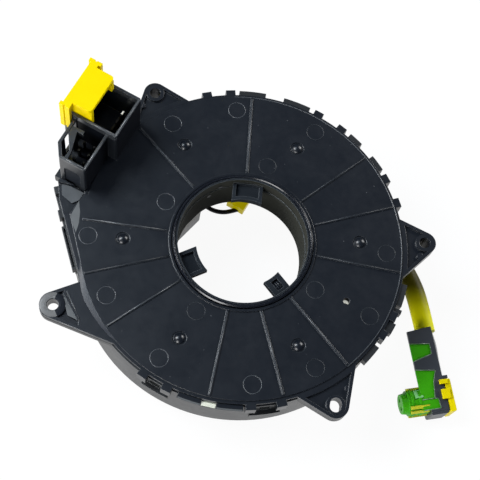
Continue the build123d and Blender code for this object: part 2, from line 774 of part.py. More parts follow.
# Block at the ribbon's outer end, in the housing's pocket
lead_block_outer = chamber_radius + lead_pocket_reach - 0.1
lead_block_middle = (chamber_radius + lead_block_outer) / 2 + 0.1
with BuildPart() as stator_lead_block:
    with Locations(spot(lead_block_middle, lead_pocket_angle, pocket_floor_z)):
        Box(
            lead_block_outer - chamber_radius - 0.2,
            lead_pocket_width - 0.2,
            ribbon_width + 2.0,
            align=(Align.CENTER, Align.CENTER, Align.MIN),
        )
    chamfer(stator_lead_block.faces().sort_by(Axis.Z)[-1].edges(), length=0.4)
finish(stator_lead_block.part, "stator_lead_block")


# Ribbon: wound on the hub, back round one roller, wound the other way outside
ribbon_bottom_z = flange_top_z + running_gap
turn_radius = roller_radius + ribbon_clearance + ribbon_thickness / 2
ribbon_start = hub_foot_radius + ribbon_hub_gap
ribbon_end = chamber_radius - ribbon_case_gap
inner_end = roller_circle - turn_radius
outer_start = roller_circle + turn_radius
inner_turns = int((inner_end - ribbon_start) / ribbon_pitch)
outer_turns = int((ribbon_end - outer_start) / ribbon_pitch)
print("ribbon turns", inner_turns, outer_turns)


def winding(start, end, half_turns, first_side):
    """Spiral drawn as half circles, each a little wider than the last."""
    step = (end - start) / half_turns
    for index in range(half_turns):
        side = 1 if index % 2 == 0 else -1
        here = side * (start + index * step)
        there = -side * (start + (index + 1) * step)
        bulge = first_side * side * abs(here - there) / 2
        ThreePointArc((here, 0), ((here + there) / 2, bulge), (there, 0))


with BuildPart() as ribbon_cable:
    with BuildSketch(Plane.XY.offset(ribbon_bottom_z)) as ribbon_section:
        with BuildLine() as ribbon_path:
            winding(ribbon_start, inner_end, 2 * inner_turns, 1)
            ThreePointArc((inner_end, 0), (roller_circle, turn_radius), (outer_start, 0))
            winding(outer_start, ribbon_end, 2 * outer_turns, -1)
        trace(line_width=ribbon_thickness)
    extrude(amount=ribbon_width)
ribbon_part = ribbon_cable.part.rotate(Axis.Z, lead_pocket_angle)
finish(ribbon_part, "ribbon_cable")


# Roller carrier: white ring plate with an outer band and six pins
carrier_top_z = case_top_z - carrier_gap
carrier_bottom_z = carrier_top_z - carrier_plate
carrier_radius = chamber_radius - carrier_gap
carrier_bore_radius = roller_circle - carrier_bore_gap
with BuildPart() as roller_carrier:
    with BuildSketch(Plane.XY.offset(carrier_bottom_z)):
        Circle(carrier_radius)
        Circle(carrier_bore_radius, mode=Mode.SUBTRACT)
        with PolarLocations(roller_circle + 2.5, roller_count, start_angle=lead_pocket_angle + 30):
            SlotOverall(13.0, 9.0, rotation=90, mode=Mode.SUBTRACT)
    extrude(amount=carrier_plate)
    with BuildSketch(Plane.XY.offset(carrier_top_z)):
        Circle(carrier_radius)
        Circle(carrier_radius - carrier_band_wall, mode=Mode.SUBTRACT)
    extrude(amount=-carrier_band_height)
    with Locations((0, 0, carrier_bottom_z)):
        with PolarLocations(roller_circle, roller_count, start_angle=lead_pocket_angle):
            Cylinder(
                roller_pin_radius,
                carrier_bottom_z - flange_top_z - running_gap,
                align=(Align.CENTER, Align.CENTER, Align.MAX),
            )
finish(roller_carrier.part, "roller_carrier")

roller_bottom_z = flange_top_z + running_gap
for number in range(roller_count):
    x, y = polar(roller_circle, lead_pocket_angle + number * 360 / roller_count)
    with BuildPart() as roller:
        with BuildSketch(Plane.XY.offset(roller_bottom_z)):
            with Locations((x, y)):
                Circle(roller_radius)
                Circle(roller_pin_radius + roller_fit, mode=Mode.SUBTRACT)
        extrude(amount=carrier_bottom_z - running_gap - roller_bottom_z)
    finish(roller.part, f"roller_{number + 1}")


# Turning hub: barrel, web, flange, lugs, pegs and the sleeve's exit boss
sleeve_z = floor_z + sleeve_floor_gap + sleeve_radius
sleeve_start = sleeve_points[0]
sleeve_heading = degrees(
    atan2(sleeve_points[1][1] - sleeve_start[1], sleeve_points[1][0] - sleeve_start[0])
)
boss_place = Location((*sleeve_start, 0), (0, 0, sleeve_heading))
boss_place *= Location((boss_length / 2 - boss_wall, 0, 0))
foot_height = flange_bottom_z - floor_z
header_place = spot(header_circle, header_angle)
lead_block_place = spot(lead_block_start + lead_block_length / 2, lead_block_angle)
with BuildPart() as rotor_hub:
    with BuildSketch(Plane.XZ):
        with BuildLine():
            Polyline(
                (bore_radius, 0),
                (bore_radius, seat_length),
                (bore_radius + parting_step, seat_length),
                (bore_radius + parting_step, neck_top_z),
                (neck_radius, neck_top_z),
                (neck_radius, collar_bottom_z),
                (hub_radius, collar_bottom_z),
                (hub_radius, hub_web),
                (hub_foot_radius, hub_web),
                (hub_foot_radius, flange_top_z),
                (flange_radius, flange_top_z),
                (flange_radius, flange_bottom_z),
                (hub_recess_radius, flange_bottom_z),
                (hub_recess_radius, 0),
                close=True,
            )
        make_face()
    revolve(axis=Axis.Z)
    # Lugs: flat trays that stand into the bore near its column end
    lug_top_z = cover_face_z - lug_drop
    lug_middle = (lug_inner_radius + bore_radius) / 2
    for angle, width in zip(lug_angles, lug_widths):
        with BuildSketch(Plane.XY.offset(lug_top_z)):
            with Locations(spot(lug_middle, angle)):
                Rectangle(3 * lug_middle - 2 * lug_inner_radius, width)
            Circle(bore_radius + neck_wall / 2, mode=Mode.INTERSECT)
            Circle(lug_inner_radius, mode=Mode.SUBTRACT)
        extrude(amount=-lug_thickness)
    for angle, width in zip(lug_angles[:-1], lug_widths[:-1]):
        with BuildSketch(Plane.XY.offset(lug_top_z)):
            with Locations(spot(lug_middle, angle)):
                Rectangle(3 * lug_middle - 2 * lug_inner_radius, width - 2 * lug_rim)
            Circle(bore_radius - lug_rim / 4, mode=Mode.INTERSECT)
            Circle(lug_inner_radius + lug_rim, mode=Mode.SUBTRACT)
        extrude(amount=-lug_pocket_depth, mode=Mode.SUBTRACT)
    with BuildSketch(Plane.XY.offset(lug_top_z)):
        with Locations(spot(lug_middle, lug_angles[-1])):
            Rectangle(bore_radius - lug_inner_radius - 2 * lug_rim, lug_slot_width)
    extrude(amount=-lug_thickness, mode=Mode.SUBTRACT)
    # Wheel-side ribs, cleared where the header and the lead block seat
    with BuildSketch(Plane.XY.offset(flange_bottom_z)):
        with PolarLocations((hub_recess_radius + flange_radius) / 2, wheel_rib_count, start_angle=5):
            Rectangle(flange_radius - hub_recess_radius - 4 * wheel_rib_width, wheel_rib_width)
        Circle(flange_radius - 2.5 * wheel_rib_width)
        Circle(flange_radius - 3.5 * wheel_rib_width, mode=Mode.SUBTRACT)
        with PolarLocations((hub_recess_radius + flange_radius) / 2, wheel_rib_count, start_angle=5):
            Rectangle(flange_radius - hub_recess_radius - 4 * wheel_rib_width, wheel_rib_width)
        Circle(hub_recess_radius, mode=Mode.SUBTRACT)
        with Locations(header_place):
            Rectangle(header_depth + 1, header_width + 1, mode=Mode.SUBTRACT)
        with Locations(lead_block_place):
            Rectangle(lead_block_length + 1, lead_block_width + 1, mode=Mode.SUBTRACT)
    extrude(amount=-wheel_rib_height)
    with Locations(*[spot(peg_circle, angle, flange_bottom_z) for angle in peg_angles]):
        Cylinder(peg_pad_radius, wheel_rib_height, align=(Align.CENTER, Align.CENTER, Align.MAX))
        Cylinder(peg_radius, foot_height, align=(Align.CENTER, Align.CENTER, Align.MAX))
    chamfer(rotor_hub.edges().group_by(Axis.Z)[0], length=peg_chamfer)
    boss_step_z = case_bottom_z - running_gap
    for level, height in ((floor_z, boss_step_z - floor_z), (boss_step_z, flange_bottom_z - boss_step_z)):
        with BuildSketch(Plane.XY.offset(level)):
            with Locations(boss_place):
                RectangleRounded(boss_length + boss_wall, 2 * (sleeve_radius + boss_wall), 1.5)
            if level > floor_z:
                Circle(chamber_radius - lip_width - running_gap, mode=Mode.INTERSECT)
        extrude(amount=height)
    boss_plane = Plane(
        origin=(sleeve_start[0], sleeve_start[1], sleeve_z),
        z_dir=(cos(radians(sleeve_heading)), sin(radians(sleeve_heading)), 0),
    )
    with BuildSketch(boss_plane):
        Circle(sleeve_radius + sleeve_fit)
    extrude(amount=boss_length, mode=Mode.SUBTRACT)
finish(rotor_hub.part, "rotor_hub")

with BuildPart() as rotor_collar:
    with BuildSketch(Plane.XZ):
        with BuildLine():
            Polyline(
                (collar_bore_radius, collar_bottom_z),
                (collar_bore_radius, collar_top_z - 0.3),
                (collar_bore_radius + 0.3, collar_top_z),
                (collar_radius - 0.4, collar_top_z),
                (collar_radius, collar_top_z - 0.4),
                (collar_radius, collar_step_top_z),
                (collar_radius + collar_step, collar_step_top_z),
                (collar_radius + collar_step, collar_bottom_z),
                close=True,
            )
        make_face()
    revolve(axis=Axis.Z)
finish(rotor_collar.part, "rotor_collar")


# Block and cap where the ribbon's inner end meets the leads
horn_z = floor_z + horn_lead_radius + 0.1
horn_route = [(x, y, horn_z) for x, y in horn_points]
horn_exit = Plane(origin=horn_route[0], z_dir=Vector(*horn_route[1]) - Vector(*horn_route[0]))
with BuildPart() as rotor_lead_block:
    with BuildSketch(Plane.XY.offset(floor_z)):
        with Locations(lead_block_place):
            RectangleRounded(lead_block_length, lead_block_width, 0.8)
    extrude(amount=foot_height - lead_cap_height)
    with BuildSketch(horn_exit):
        Circle(horn_lead_radius + horn_hole_fit)
    extrude(amount=lead_block_width / 2, mode=Mode.SUBTRACT)
finish(rotor_lead_block.part, "rotor_lead_block")

with BuildPart() as rotor_lead_cap:
    with BuildSketch(Plane.XY.offset(flange_bottom_z)):
        with Locations(lead_block_place):
            RectangleRounded(lead_block_length, lead_block_width, 0.8)
    extrude(amount=-lead_cap_height)
    cap_holes = [lead_block_angle + turn for turn in (-cap_hole_turn, cap_hole_turn)]
    with Locations(*[spot(lead_block_start + cap_hole_inset, angle, flange_bottom_z) for angle in cap_holes]):
        Hole(cap_hole_radius, depth=cap_hole_depth)
finish(rotor_lead_cap.part, "rotor_lead_cap")


# Socket on the wheel side, open towards the wheel
header_floor_z = flange_bottom_z - 1.6
header_pin_places = [
    (x, (step - (header_pins_per_row - 1) / 2) * header_pin_pitch)
    for x in (-1.8, 1.8)
    for step in range(header_pins_per_row)
]
with BuildPart() as wheel_header:
    with BuildSketch(Plane.XY.offset(floor_z)):
        with Locations(header_place):
            RectangleRounded(header_depth, header_width, 1.0)
            Rectangle(header_depth - 2 * header_wall, header_width - 2 * header_wall, mode=Mode.SUBTRACT)
    extrude(amount=foot_height)
    with BuildSketch(Plane.XY.offset(header_floor_z)):
        with Locations(header_place):
            Rectangle(header_depth - header_wall, header_width - header_wall)
    extrude(amount=flange_bottom_z - header_floor_z)
    with BuildSketch(frame_at((0, 0), header_angle, header_floor_z)):
        with Locations(*[(header_circle + x, y) for x, y in header_pin_places]):
            Rectangle(pin_size, pin_size)
    extrude(amount=pin_seat_depth, mode=Mode.SUBTRACT)
finish(wheel_header.part, "wheel_header")

with BuildPart() as wheel_header_pins:
    with BuildSketch(frame_at((0, 0), header_angle, header_floor_z + pin_seat_depth)):
        with Locations(*[(header_circle + x, y) for x, y in header_pin_places]):
            Rectangle(pin_size, pin_size)
    extrude(amount=-pin_seat_depth - 4.5)
finish(wheel_header_pins.part, "wheel_header_pins")


# Sleeve of the airbag lead, from the boss out to the plug
sleeve_route = [(x, y, sleeve_z) for x, y in sleeve_points]
airbag_sleeve = tube(sleeve_route, sleeve_radius, "airbag sleeve")
finish(airbag_sleeve, "airbag_sleeve")


# Airbag plug: black back cover with two bands, green body and nose, yellow slide
plug_bottom_z = floor_z + 0.1
plug_top_z = plug_bottom_z + plug_height
plug_middle_z = (plug_bottom_z + plug_top_z) / 2
body_edge = plug_thickness - plug_back_wall
body_end = plug_length - plug_cap_length - plug_split


def band_outlines(side, slant):
    """Outlines of the black bands, from a side edge of the plug to its back."""
    rear = ((0.1, side), (4.1, side), (5.0, body_edge), (5.0, plug_thickness), (-slant, plug_thickness))
    slanted = ((10.6, side), (13.2, side), (14.3, body_edge), (8.7, body_edge))
    inner = ((14.3, body_edge), (16.0, 5.0), (18.3, 4.3), (23.5, 3.6), (23.6, 4.7))
    inner += ((body_end, 4.9), (body_end, body_edge))
    return (rear, slanted, inner)


def pad_outlines(side):
    """Outlines of the two green pads beside the bands."""
    edge = body_edge - plug_split
    rear = ((4.3, side), (10.4, side), (8.5, edge), (5.2, edge))
    front = ((13.4, side), (body_end, side), (body_end, 4.8), (23.8, 4.6), (23.6, 3.5))
    front += ((18.2, 4.2), (15.9, 4.9), (14.5, edge))
    return (rear, front)


with BuildPart() as airbag_plug_cover:
    with BuildSketch(frame_at(plug_corner, plug_heading, plug_bottom_z)):
        with Locations((plug_length / 2, plug_thickness - plug_back_wall / 2)):
            Rectangle(plug_length, plug_back_wall)
        with Locations((plug_length - plug_cap_length / 2, (plug_thickness + plug_side_inset) / 2)):
            Rectangle(plug_cap_length, plug_thickness - plug_side_inset)
        with Locations((0.5, plug_thickness - 2.0)):
            Rectangle(1.0, 4.0)
        with Locations((plug_port_station + plug_port_length / 2, plug_thickness)):
            Rectangle(plug_port_length, 2 * plug_port_reach)
    extrude(amount=plug_height)
    chamfer(airbag_plug_cover.edges().group_by(Axis.Z)[-1].sort_by(Axis.Y)[0], length=plug_cap_chamfer)
    fillet(airbag_plug_cover.edges().filter_by(Axis.Z).sort_by(Axis.Y)[:2], radius=0.6)
    for level, skin, side, slant in (
        (plug_top_z, -plug_skin, -plug_top_overhang, plug_top_slant),
        (plug_bottom_z, plug_skin, plug_side_inset, 0.0),
    ):
        with BuildSketch(frame_at(plug_corner, plug_heading, level)):
            for band in band_outlines(side, slant):
                with BuildLine():
                    Polyline(*band, close=True)
                make_face()
        extrude(amount=skin)
finish(airbag_plug_cover.part, "airbag_plug_cover")

plug_frame = frame_at(plug_corner, plug_heading)
nose_plane = Plane(
    origin=plug_frame.from_local_coords((plug_nose_station, plug_side_inset, plug_middle_z)),
    x_dir=plug_frame.x_dir,
    z_dir=plug_frame.y_dir * -1,
)
key_radius = plug_nose_radius + (plug_key_rise - plug_key_root) / 2
key_places = [spot(key_radius, angle) for angle in plug_key_angles]
body_middle = ((plug_body_start + body_end) / 2, (body_edge - plug_split + plug_side_inset) / 2)
with BuildPart() as airbag_plug_body:
    with BuildSketch(frame_at(plug_corner, plug_heading, plug_bottom_z + plug_skin)):
        with Locations(body_middle):
            Rectangle(body_end - plug_body_start, body_edge - plug_split - plug_side_inset)
    extrude(amount=plug_height - 2 * plug_skin)
    for level, skin, side in (
        (plug_top_z - plug_skin, plug_skin - 0.3, -plug_top_overhang),
        (plug_bottom_z + plug_skin, 0.3 - plug_skin, plug_side_inset),
    ):
        with BuildSketch(frame_at(plug_corner, plug_heading, level)):
            for pad in pad_outlines(side):
                with BuildLine():
                    Polyline(*pad, close=True)
                make_face()
        extrude(amount=skin)
    # Nose: collar, barrel with two rings, tapered tip, and two contact holes
    with BuildSketch(nose_plane):
        Circle(plug_nose_radius)
    extrude(amount=plug_nose_length - 2.0)
    with BuildSketch(nose_plane.offset(plug_nose_length - 2.0)):
        Circle(plug_nose_radius - 0.5)
    extrude(amount=2.0, taper=12)
    for station in (2.4, 5.0):
        with BuildSketch(nose_plane.offset(station)):
            Circle(plug_nose_radius + 0.25)
        extrude(amount=0.8)
    with BuildSketch(nose_plane.offset(plug_nose_length)):
        with Locations((-1.4, 0), (1.4, 0)):
            Circle(0.75)
    extrude(amount=-6.0, mode=Mode.SUBTRACT)
    with BuildSketch(nose_plane):
        with Locations(*key_places):
            Rectangle(plug_key_rise + plug_key_root, plug_key_width)
    extrude(amount=plug_nose_length - 2.2, mode=Mode.SUBTRACT)
finish(airbag_plug_body.part, "airbag_plug_body")

with BuildPart() as airbag_plug_keys:
    with BuildSketch(nose_plane.offset(0.1)):
        with Locations(*key_places):
            Rectangle(plug_key_rise + plug_key_root, plug_key_width)
    extrude(amount=plug_nose_length - 2.4)
finish(airbag_plug_keys.part, "airbag_plug_keys")

with BuildPart() as airbag_plug_contacts:
    with BuildSketch(nose_plane.offset(plug_nose_length - 1.0)):
        with Locations((-1.4, 0), (1.4, 0)):
            Circle(0.75)
            Circle(0.5, mode=Mode.SUBTRACT)
    extrude(amount=-5.0)
finish(airbag_plug_contacts.part, "airbag_plug_contacts")

lock_side = plug_thickness + plug_lock_gap
finger_reach = 2.2
with BuildPart() as airbag_plug_lock:
    with BuildSketch(frame_at(plug_corner, plug_heading, plug_bottom_z + 0.6)):
        with Locations((plug_lock_start + plug_lock_length / 2, lock_side + plug_lock_thickness / 2)):
            RectangleRounded(plug_lock_length, plug_lock_thickness, 0.5)
    extrude(amount=plug_height - 0.3)
    with BuildSketch(frame_at(plug_corner, plug_heading, plug_top_z + 0.3)):
        with Locations((plug_lock_start + 0.9, lock_side - finger_reach / 2 + 0.6)):
            Rectangle(1.4, finger_reach + 0.6)
        with Locations((plug_lock_start + 5.0, lock_side - finger_reach / 2 + 0.6)):
            Rectangle(3.2, finger_reach + 0.6)
    extrude(amount=0.9)
finish(airbag_plug_lock.part, "airbag_plug_lock")

wires = []
for step in (-0.5, 0.5):
    level = sleeve_z + step * wire_pitch
    stations = ((0.0, 8.4), (4.6, 8.9), (10.2, 8.5), (plug_port_station, 8.5))
    route = [plug_frame.from_local_coords((x, y, level)) for x, y in stations]
    wires.append(tube([(p.X, p.Y, p.Z) for p in route], wire_radius, "airbag wire"))
airbag_wires = Compound(children=wires)
finish(airbag_wires, "airbag_wires")


# Horn lead from the lead block to the small connector
horn_lead = tube(horn_route, horn_lead_radius, "horn lead")
finish(horn_lead, "horn_lead")
horn_entry = Plane(origin=horn_route[-1], z_dir=Vector(*horn_route[-2]) - Vector(*horn_route[-1]))

with BuildPart() as horn_connector:
    with BuildSketch(frame_at(horn_connector_corner, horn_connector_heading, floor_z + 0.1)):
        with Locations((horn_connector_length / 2, horn_connector_width / 2)):
            Rectangle(horn_connector_length, horn_connector_width)
    extrude(amount=horn_connector_height)
    chamfer(horn_connector.faces().sort_by(Axis.Z)[-1].edges(), length=0.4)
    with BuildSketch(frame_at(horn_connector_corner, horn_connector_heading, floor_z + 0.1)):
        with Locations((horn_connector_length - 2.5, horn_connector_width / 2)):
            Rectangle(7.0, horn_connector_width - 2.4)
    extrude(amount=horn_connector_height / 2, mode=Mode.SUBTRACT)
    with BuildSketch(horn_entry):
        Circle(horn_lead_radius + horn_hole_fit)
    extrude(amount=horn_connector_width, mode=Mode.SUBTRACT)
finish(horn_connector.part, "horn_connector")
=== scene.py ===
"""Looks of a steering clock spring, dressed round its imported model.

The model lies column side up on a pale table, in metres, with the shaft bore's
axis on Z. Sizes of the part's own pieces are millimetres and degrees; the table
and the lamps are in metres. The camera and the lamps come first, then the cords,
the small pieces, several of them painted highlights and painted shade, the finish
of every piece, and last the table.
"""

import logging
import math
from dataclasses import dataclass, field
from enum import Enum
from typing import ClassVar, Iterable

import bmesh
import bpy
from mathutils import Matrix, Vector


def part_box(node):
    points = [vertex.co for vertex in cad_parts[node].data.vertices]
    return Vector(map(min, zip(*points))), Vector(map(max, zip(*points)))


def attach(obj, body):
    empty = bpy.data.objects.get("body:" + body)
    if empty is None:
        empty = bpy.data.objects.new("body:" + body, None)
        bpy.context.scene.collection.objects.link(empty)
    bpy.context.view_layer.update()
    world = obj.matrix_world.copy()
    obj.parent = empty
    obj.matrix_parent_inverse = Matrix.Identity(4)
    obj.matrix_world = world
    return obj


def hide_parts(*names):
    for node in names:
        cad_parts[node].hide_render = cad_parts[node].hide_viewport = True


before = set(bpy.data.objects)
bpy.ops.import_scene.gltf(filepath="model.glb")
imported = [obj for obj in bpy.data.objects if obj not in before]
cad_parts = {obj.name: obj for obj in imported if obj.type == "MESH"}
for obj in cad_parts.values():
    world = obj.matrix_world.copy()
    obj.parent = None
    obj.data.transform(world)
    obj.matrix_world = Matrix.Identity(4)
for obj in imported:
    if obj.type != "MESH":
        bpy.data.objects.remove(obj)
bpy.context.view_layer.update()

FLOOR_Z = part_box("wheel_header")[0].z
MM = 0.001
UP = Vector((0.0, 0.0, 1.0))

# How deep a thin piece starts under its face, how thick it is, and how round a bead is.
FACE_CLEARANCE = 0.01
SKIN = 0.03
BEAD_CORNERS = 10

# Which way the column socket faces, and how finely the edges are rounded.
SOCKET_HEADING = 151.8
EDGE_SAMPLES = 14

log = logging.getLogger("clock_spring")

Colour = tuple[float, float, float]
Point = tuple[float, float, float]
Pair = tuple[float, float]
Pairs = tuple[Pair, ...]


class Axis(Enum):
    """Direction along which a finish's streaks run."""

    X = (1.0, 0.0, 0.0)
    Y = (0.0, 1.0, 0.0)
    Z = (0.0, 0.0, 1.0)


class Value:
    """A shader socket that takes part in arithmetic."""

    def __init__(self, tree: "ShaderTree", socket: bpy.types.NodeSocket) -> None:
        """Wraps one output socket of a node."""
        self.tree = tree
        self.socket = socket

    def _math(self, operation: str, other: "Value | float") -> "Value":
        """Adds one Math node, with this value first and the other second."""
        return self.tree.node("ShaderNodeMath", {"operation": operation}, {0: self, 1: other})

    def __add__(self, other: "Value | float") -> "Value":
        """Sum."""
        return self._math("ADD", other)

    def __sub__(self, other: "Value | float") -> "Value":
        """Difference."""
        return self._math("SUBTRACT", other)

    def __rsub__(self, other: float) -> "Value":
        """Difference from a plain number."""
        return self.tree.node("ShaderNodeMath", {"operation": "SUBTRACT"}, {0: other, 1: self})

    def __mul__(self, other: "Value | float") -> "Value":
        """Product."""
        return self._math("MULTIPLY", other)

    def __pow__(self, other: "Value | float") -> "Value":
        """Power."""
        return self._math("POWER", other)

    __radd__ = __add__
    __rmul__ = __mul__

    def largest(self, other: "Value | float") -> "Value":
        """The larger of two values."""
        return self._math("MAXIMUM", other)

    def smooth(self, low: float, high: float) -> "Value":
        """Smooth step.

        Args:
            low: The value up to which the step is 0.
            high: The value from which it is 1.

        Returns:
            The step.
        """
        settings = {"interpolation_type": "SMOOTHSTEP"}
        inputs = {"Value": self, "From Min": low, "From Max": high, "To Min": 0.0, "To Max": 1.0}
        return self.tree.node("ShaderNodeMapRange", settings, inputs)


class ShaderTree:
    """Node tree of one material, with one Principled shader."""

    def __init__(self, name: str) -> None:
        """Starts a material of that name.

        Args:
            name: The material's name.
        """
        self.material = bpy.data.materials.new(name)
        self.material.use_nodes = True
        self.links = self.material.node_tree.links
        self.nodes = self.material.node_tree.nodes
        self.shader = next(n for n in self.nodes if n.type == "BSDF_PRINCIPLED")
        self.output = next(n for n in self.nodes if n.type == "OUTPUT_MATERIAL")

    def node(
        self, kind: str, settings: dict | None = None, inputs: dict | None = None, out: int | str = 0,
    ) -> Value:
        """Adds any node.

        Args:
            kind: The node's type.
            settings: Its properties, set before its inputs.
            inputs: Numbers, colours or links, by socket name or place.
            out: The output that is returned.

        Returns:
            The chosen output, ready for arithmetic.
        """
        made = self.nodes.new(kind)
        for key, value in (settings or {}).items():
            setattr(made, key, value)
        for key, value in (inputs or {}).items():
            self.feed(made.inputs[key], value)
        return Value(self, made.outputs[out])

    def feed(self, socket: bpy.types.NodeSocket, value: object) -> None:
        """Sets a socket, or links it.

        Args:
            socket: The input socket.
            value: A number, a vector, a colour, or the value that is linked to it.
        """
        if isinstance(value, Value):
            self.links.new(value.socket, socket)
        elif isinstance(value, tuple) and len(value) == 3 and socket.type == "RGBA":
            socket.default_value = (*value, 1.0)
        else:
            socket.default_value = value

    def surface(self, **sockets: object) -> None:
        """Feeds the Principled shader, with a space for each underscore."""
        for name, value in sockets.items():
            self.feed(self.shader.inputs[name.replace("_", " ")], value)

    def place(self, scale: Point = (1.0, 1.0, 1.0), shift: Point = (0.0, 0.0, 0.0)) -> Value:
        """Object coordinates in millimetres.

        Args:
            scale: Squeeze of the pattern along each axis.
            shift: Place of the pattern's centre, in millimetres.

        Returns:
            The coordinates.
        """
        settings = {"vector_type": "POINT"}
        where = self.node("ShaderNodeTexCoord", out="Object")
        offset = tuple(-value * MM for value in shift)
        moved = self.node("ShaderNodeMapping", settings, {"Vector": where, "Location": offset})
        per_mm = tuple(value / MM for value in scale)
        return self.node("ShaderNodeMapping", settings, {"Vector": moved, "Scale": per_mm})

    def noise(
        self, place: Value, scale: float, detail: float = 3.0, rough: float = 0.5, warp: float = 0.0,
    ) -> Value:
        """Cloudy noise from 0 to 1."""
        inputs = {"Vector": place, "Scale": scale, "Detail": detail, "Roughness": rough, "Distortion": warp}
        return self.node("ShaderNodeTexNoise", {"noise_dimensions": "3D"}, inputs)

    def cells(self, place: Value, scale: float, feature: str = "F1") -> Value:
        """Distance inside a field of cells."""
        return self.node("ShaderNodeTexVoronoi", {"feature": feature}, {"Vector": place, "Scale": scale})

    def part_of(self, place: Value) -> tuple[Value, Value, Value]:
        """Splits a vector.

        Args:
            place: The vector.

        Returns:
            Its X, Y and Z.
        """
        split = self.node("ShaderNodeSeparateXYZ", inputs={"Vector": place})
        outputs = split.socket.node.outputs
        return Value(self, outputs[0]), Value(self, outputs[1]), Value(self, outputs[2])

    def blend(self, share: Value, first: Value | Colour, second: Value | Colour) -> Value:
        """Mixes two colours.

        Args:
            share: How much of the second colour shows, from 0 to 1.
            first: The first colour.
            second: The second colour.

        Returns:
            The mixed colour.
        """
        settings = {"data_type": "RGBA", "clamp_factor": True}
        return self.node("ShaderNodeMix", settings, {0: share, 6: first, 7: second}, out=2)

    def bump(self, height: Value, depth: float, under: Value | None = None) -> Value:
        """Normal of a surface raised by a height from 0 to 1.

        Args:
            height: The height's share.
            depth: The full height, in millimetres.
            under: Normal of the surface below.

        Returns:
            The new normal.
        """
        inputs = {"Height": height, "Distance": depth * MM, "Strength": 1.0}
        if under is not None:
            inputs["Normal"] = under
        return self.node("ShaderNodeBump", inputs=inputs)

    def rounded(self, radius: float) -> Value:
        """Normal that rounds every edge by a radius in millimetres."""
        return self.node("ShaderNodeBevel", {"samples": EDGE_SAMPLES}, {"Radius": radius * MM})


@dataclass(frozen=True)
class Well:
    """Round wall whose inside gets its own tone, such as the olive bore of the hub, with its brightness
    painted to stand in for the light and shade down the bore.

    The shading comes in over front and goes out over back, both measured outwards
    from the wall's radius, and it lies between the low and the high height.
    """

    radius: float
    colour: Colour
    low: float
    high: float
    front: Pair = (-0.25, -0.05)
    back: Pair = (0.7, 0.9)
    foot_blur: float = 0.5
    rim_blur: float = 0.1

    def share(self, tree: ShaderTree, place: Value) -> Value:
        """How far a point lies on that wall, from 0 to 1.

        Args:
            tree: The material's tree.
            place: Object coordinates in millimetres.

        Returns:
            The share.
        """
        x, y, z = tree.part_of(place)
        off_axis = (x * x + y * y) ** 0.5
        past_front = off_axis.smooth(*(self.radius + reach for reach in self.front))
        past_back = off_axis.smooth(*(self.radius + reach for reach in self.back))
        above_foot = z.smooth(self.low - self.foot_blur, self.low + self.foot_blur)
        above_rim = z.smooth(self.high - self.rim_blur, self.high + self.rim_blur)
        return past_front * (1 - past_back) * (above_foot * (1 - above_rim))


@dataclass(frozen=True)
class PolishAndHighlight:
    """Raised detail, such as domes and ribs, that stands clear: smoother, with its edges and faces painted
    lighter as painted highlights.
    """

    level: float
    roughness_share: float
    edge_lift: float
    face_lift: float = 0.0
    blur: float = 0.15

    def share(self, tree: ShaderTree, place: Value) -> Value:
        """How far a point stands above the level, from 0 to 1.

        Args:
            tree: The material's tree.
            place: Object coordinates in millimetres.

        Returns:
            The share.
        """
        _, _, z = tree.part_of(place)
        return z.smooth(self.level, self.level + self.blur)


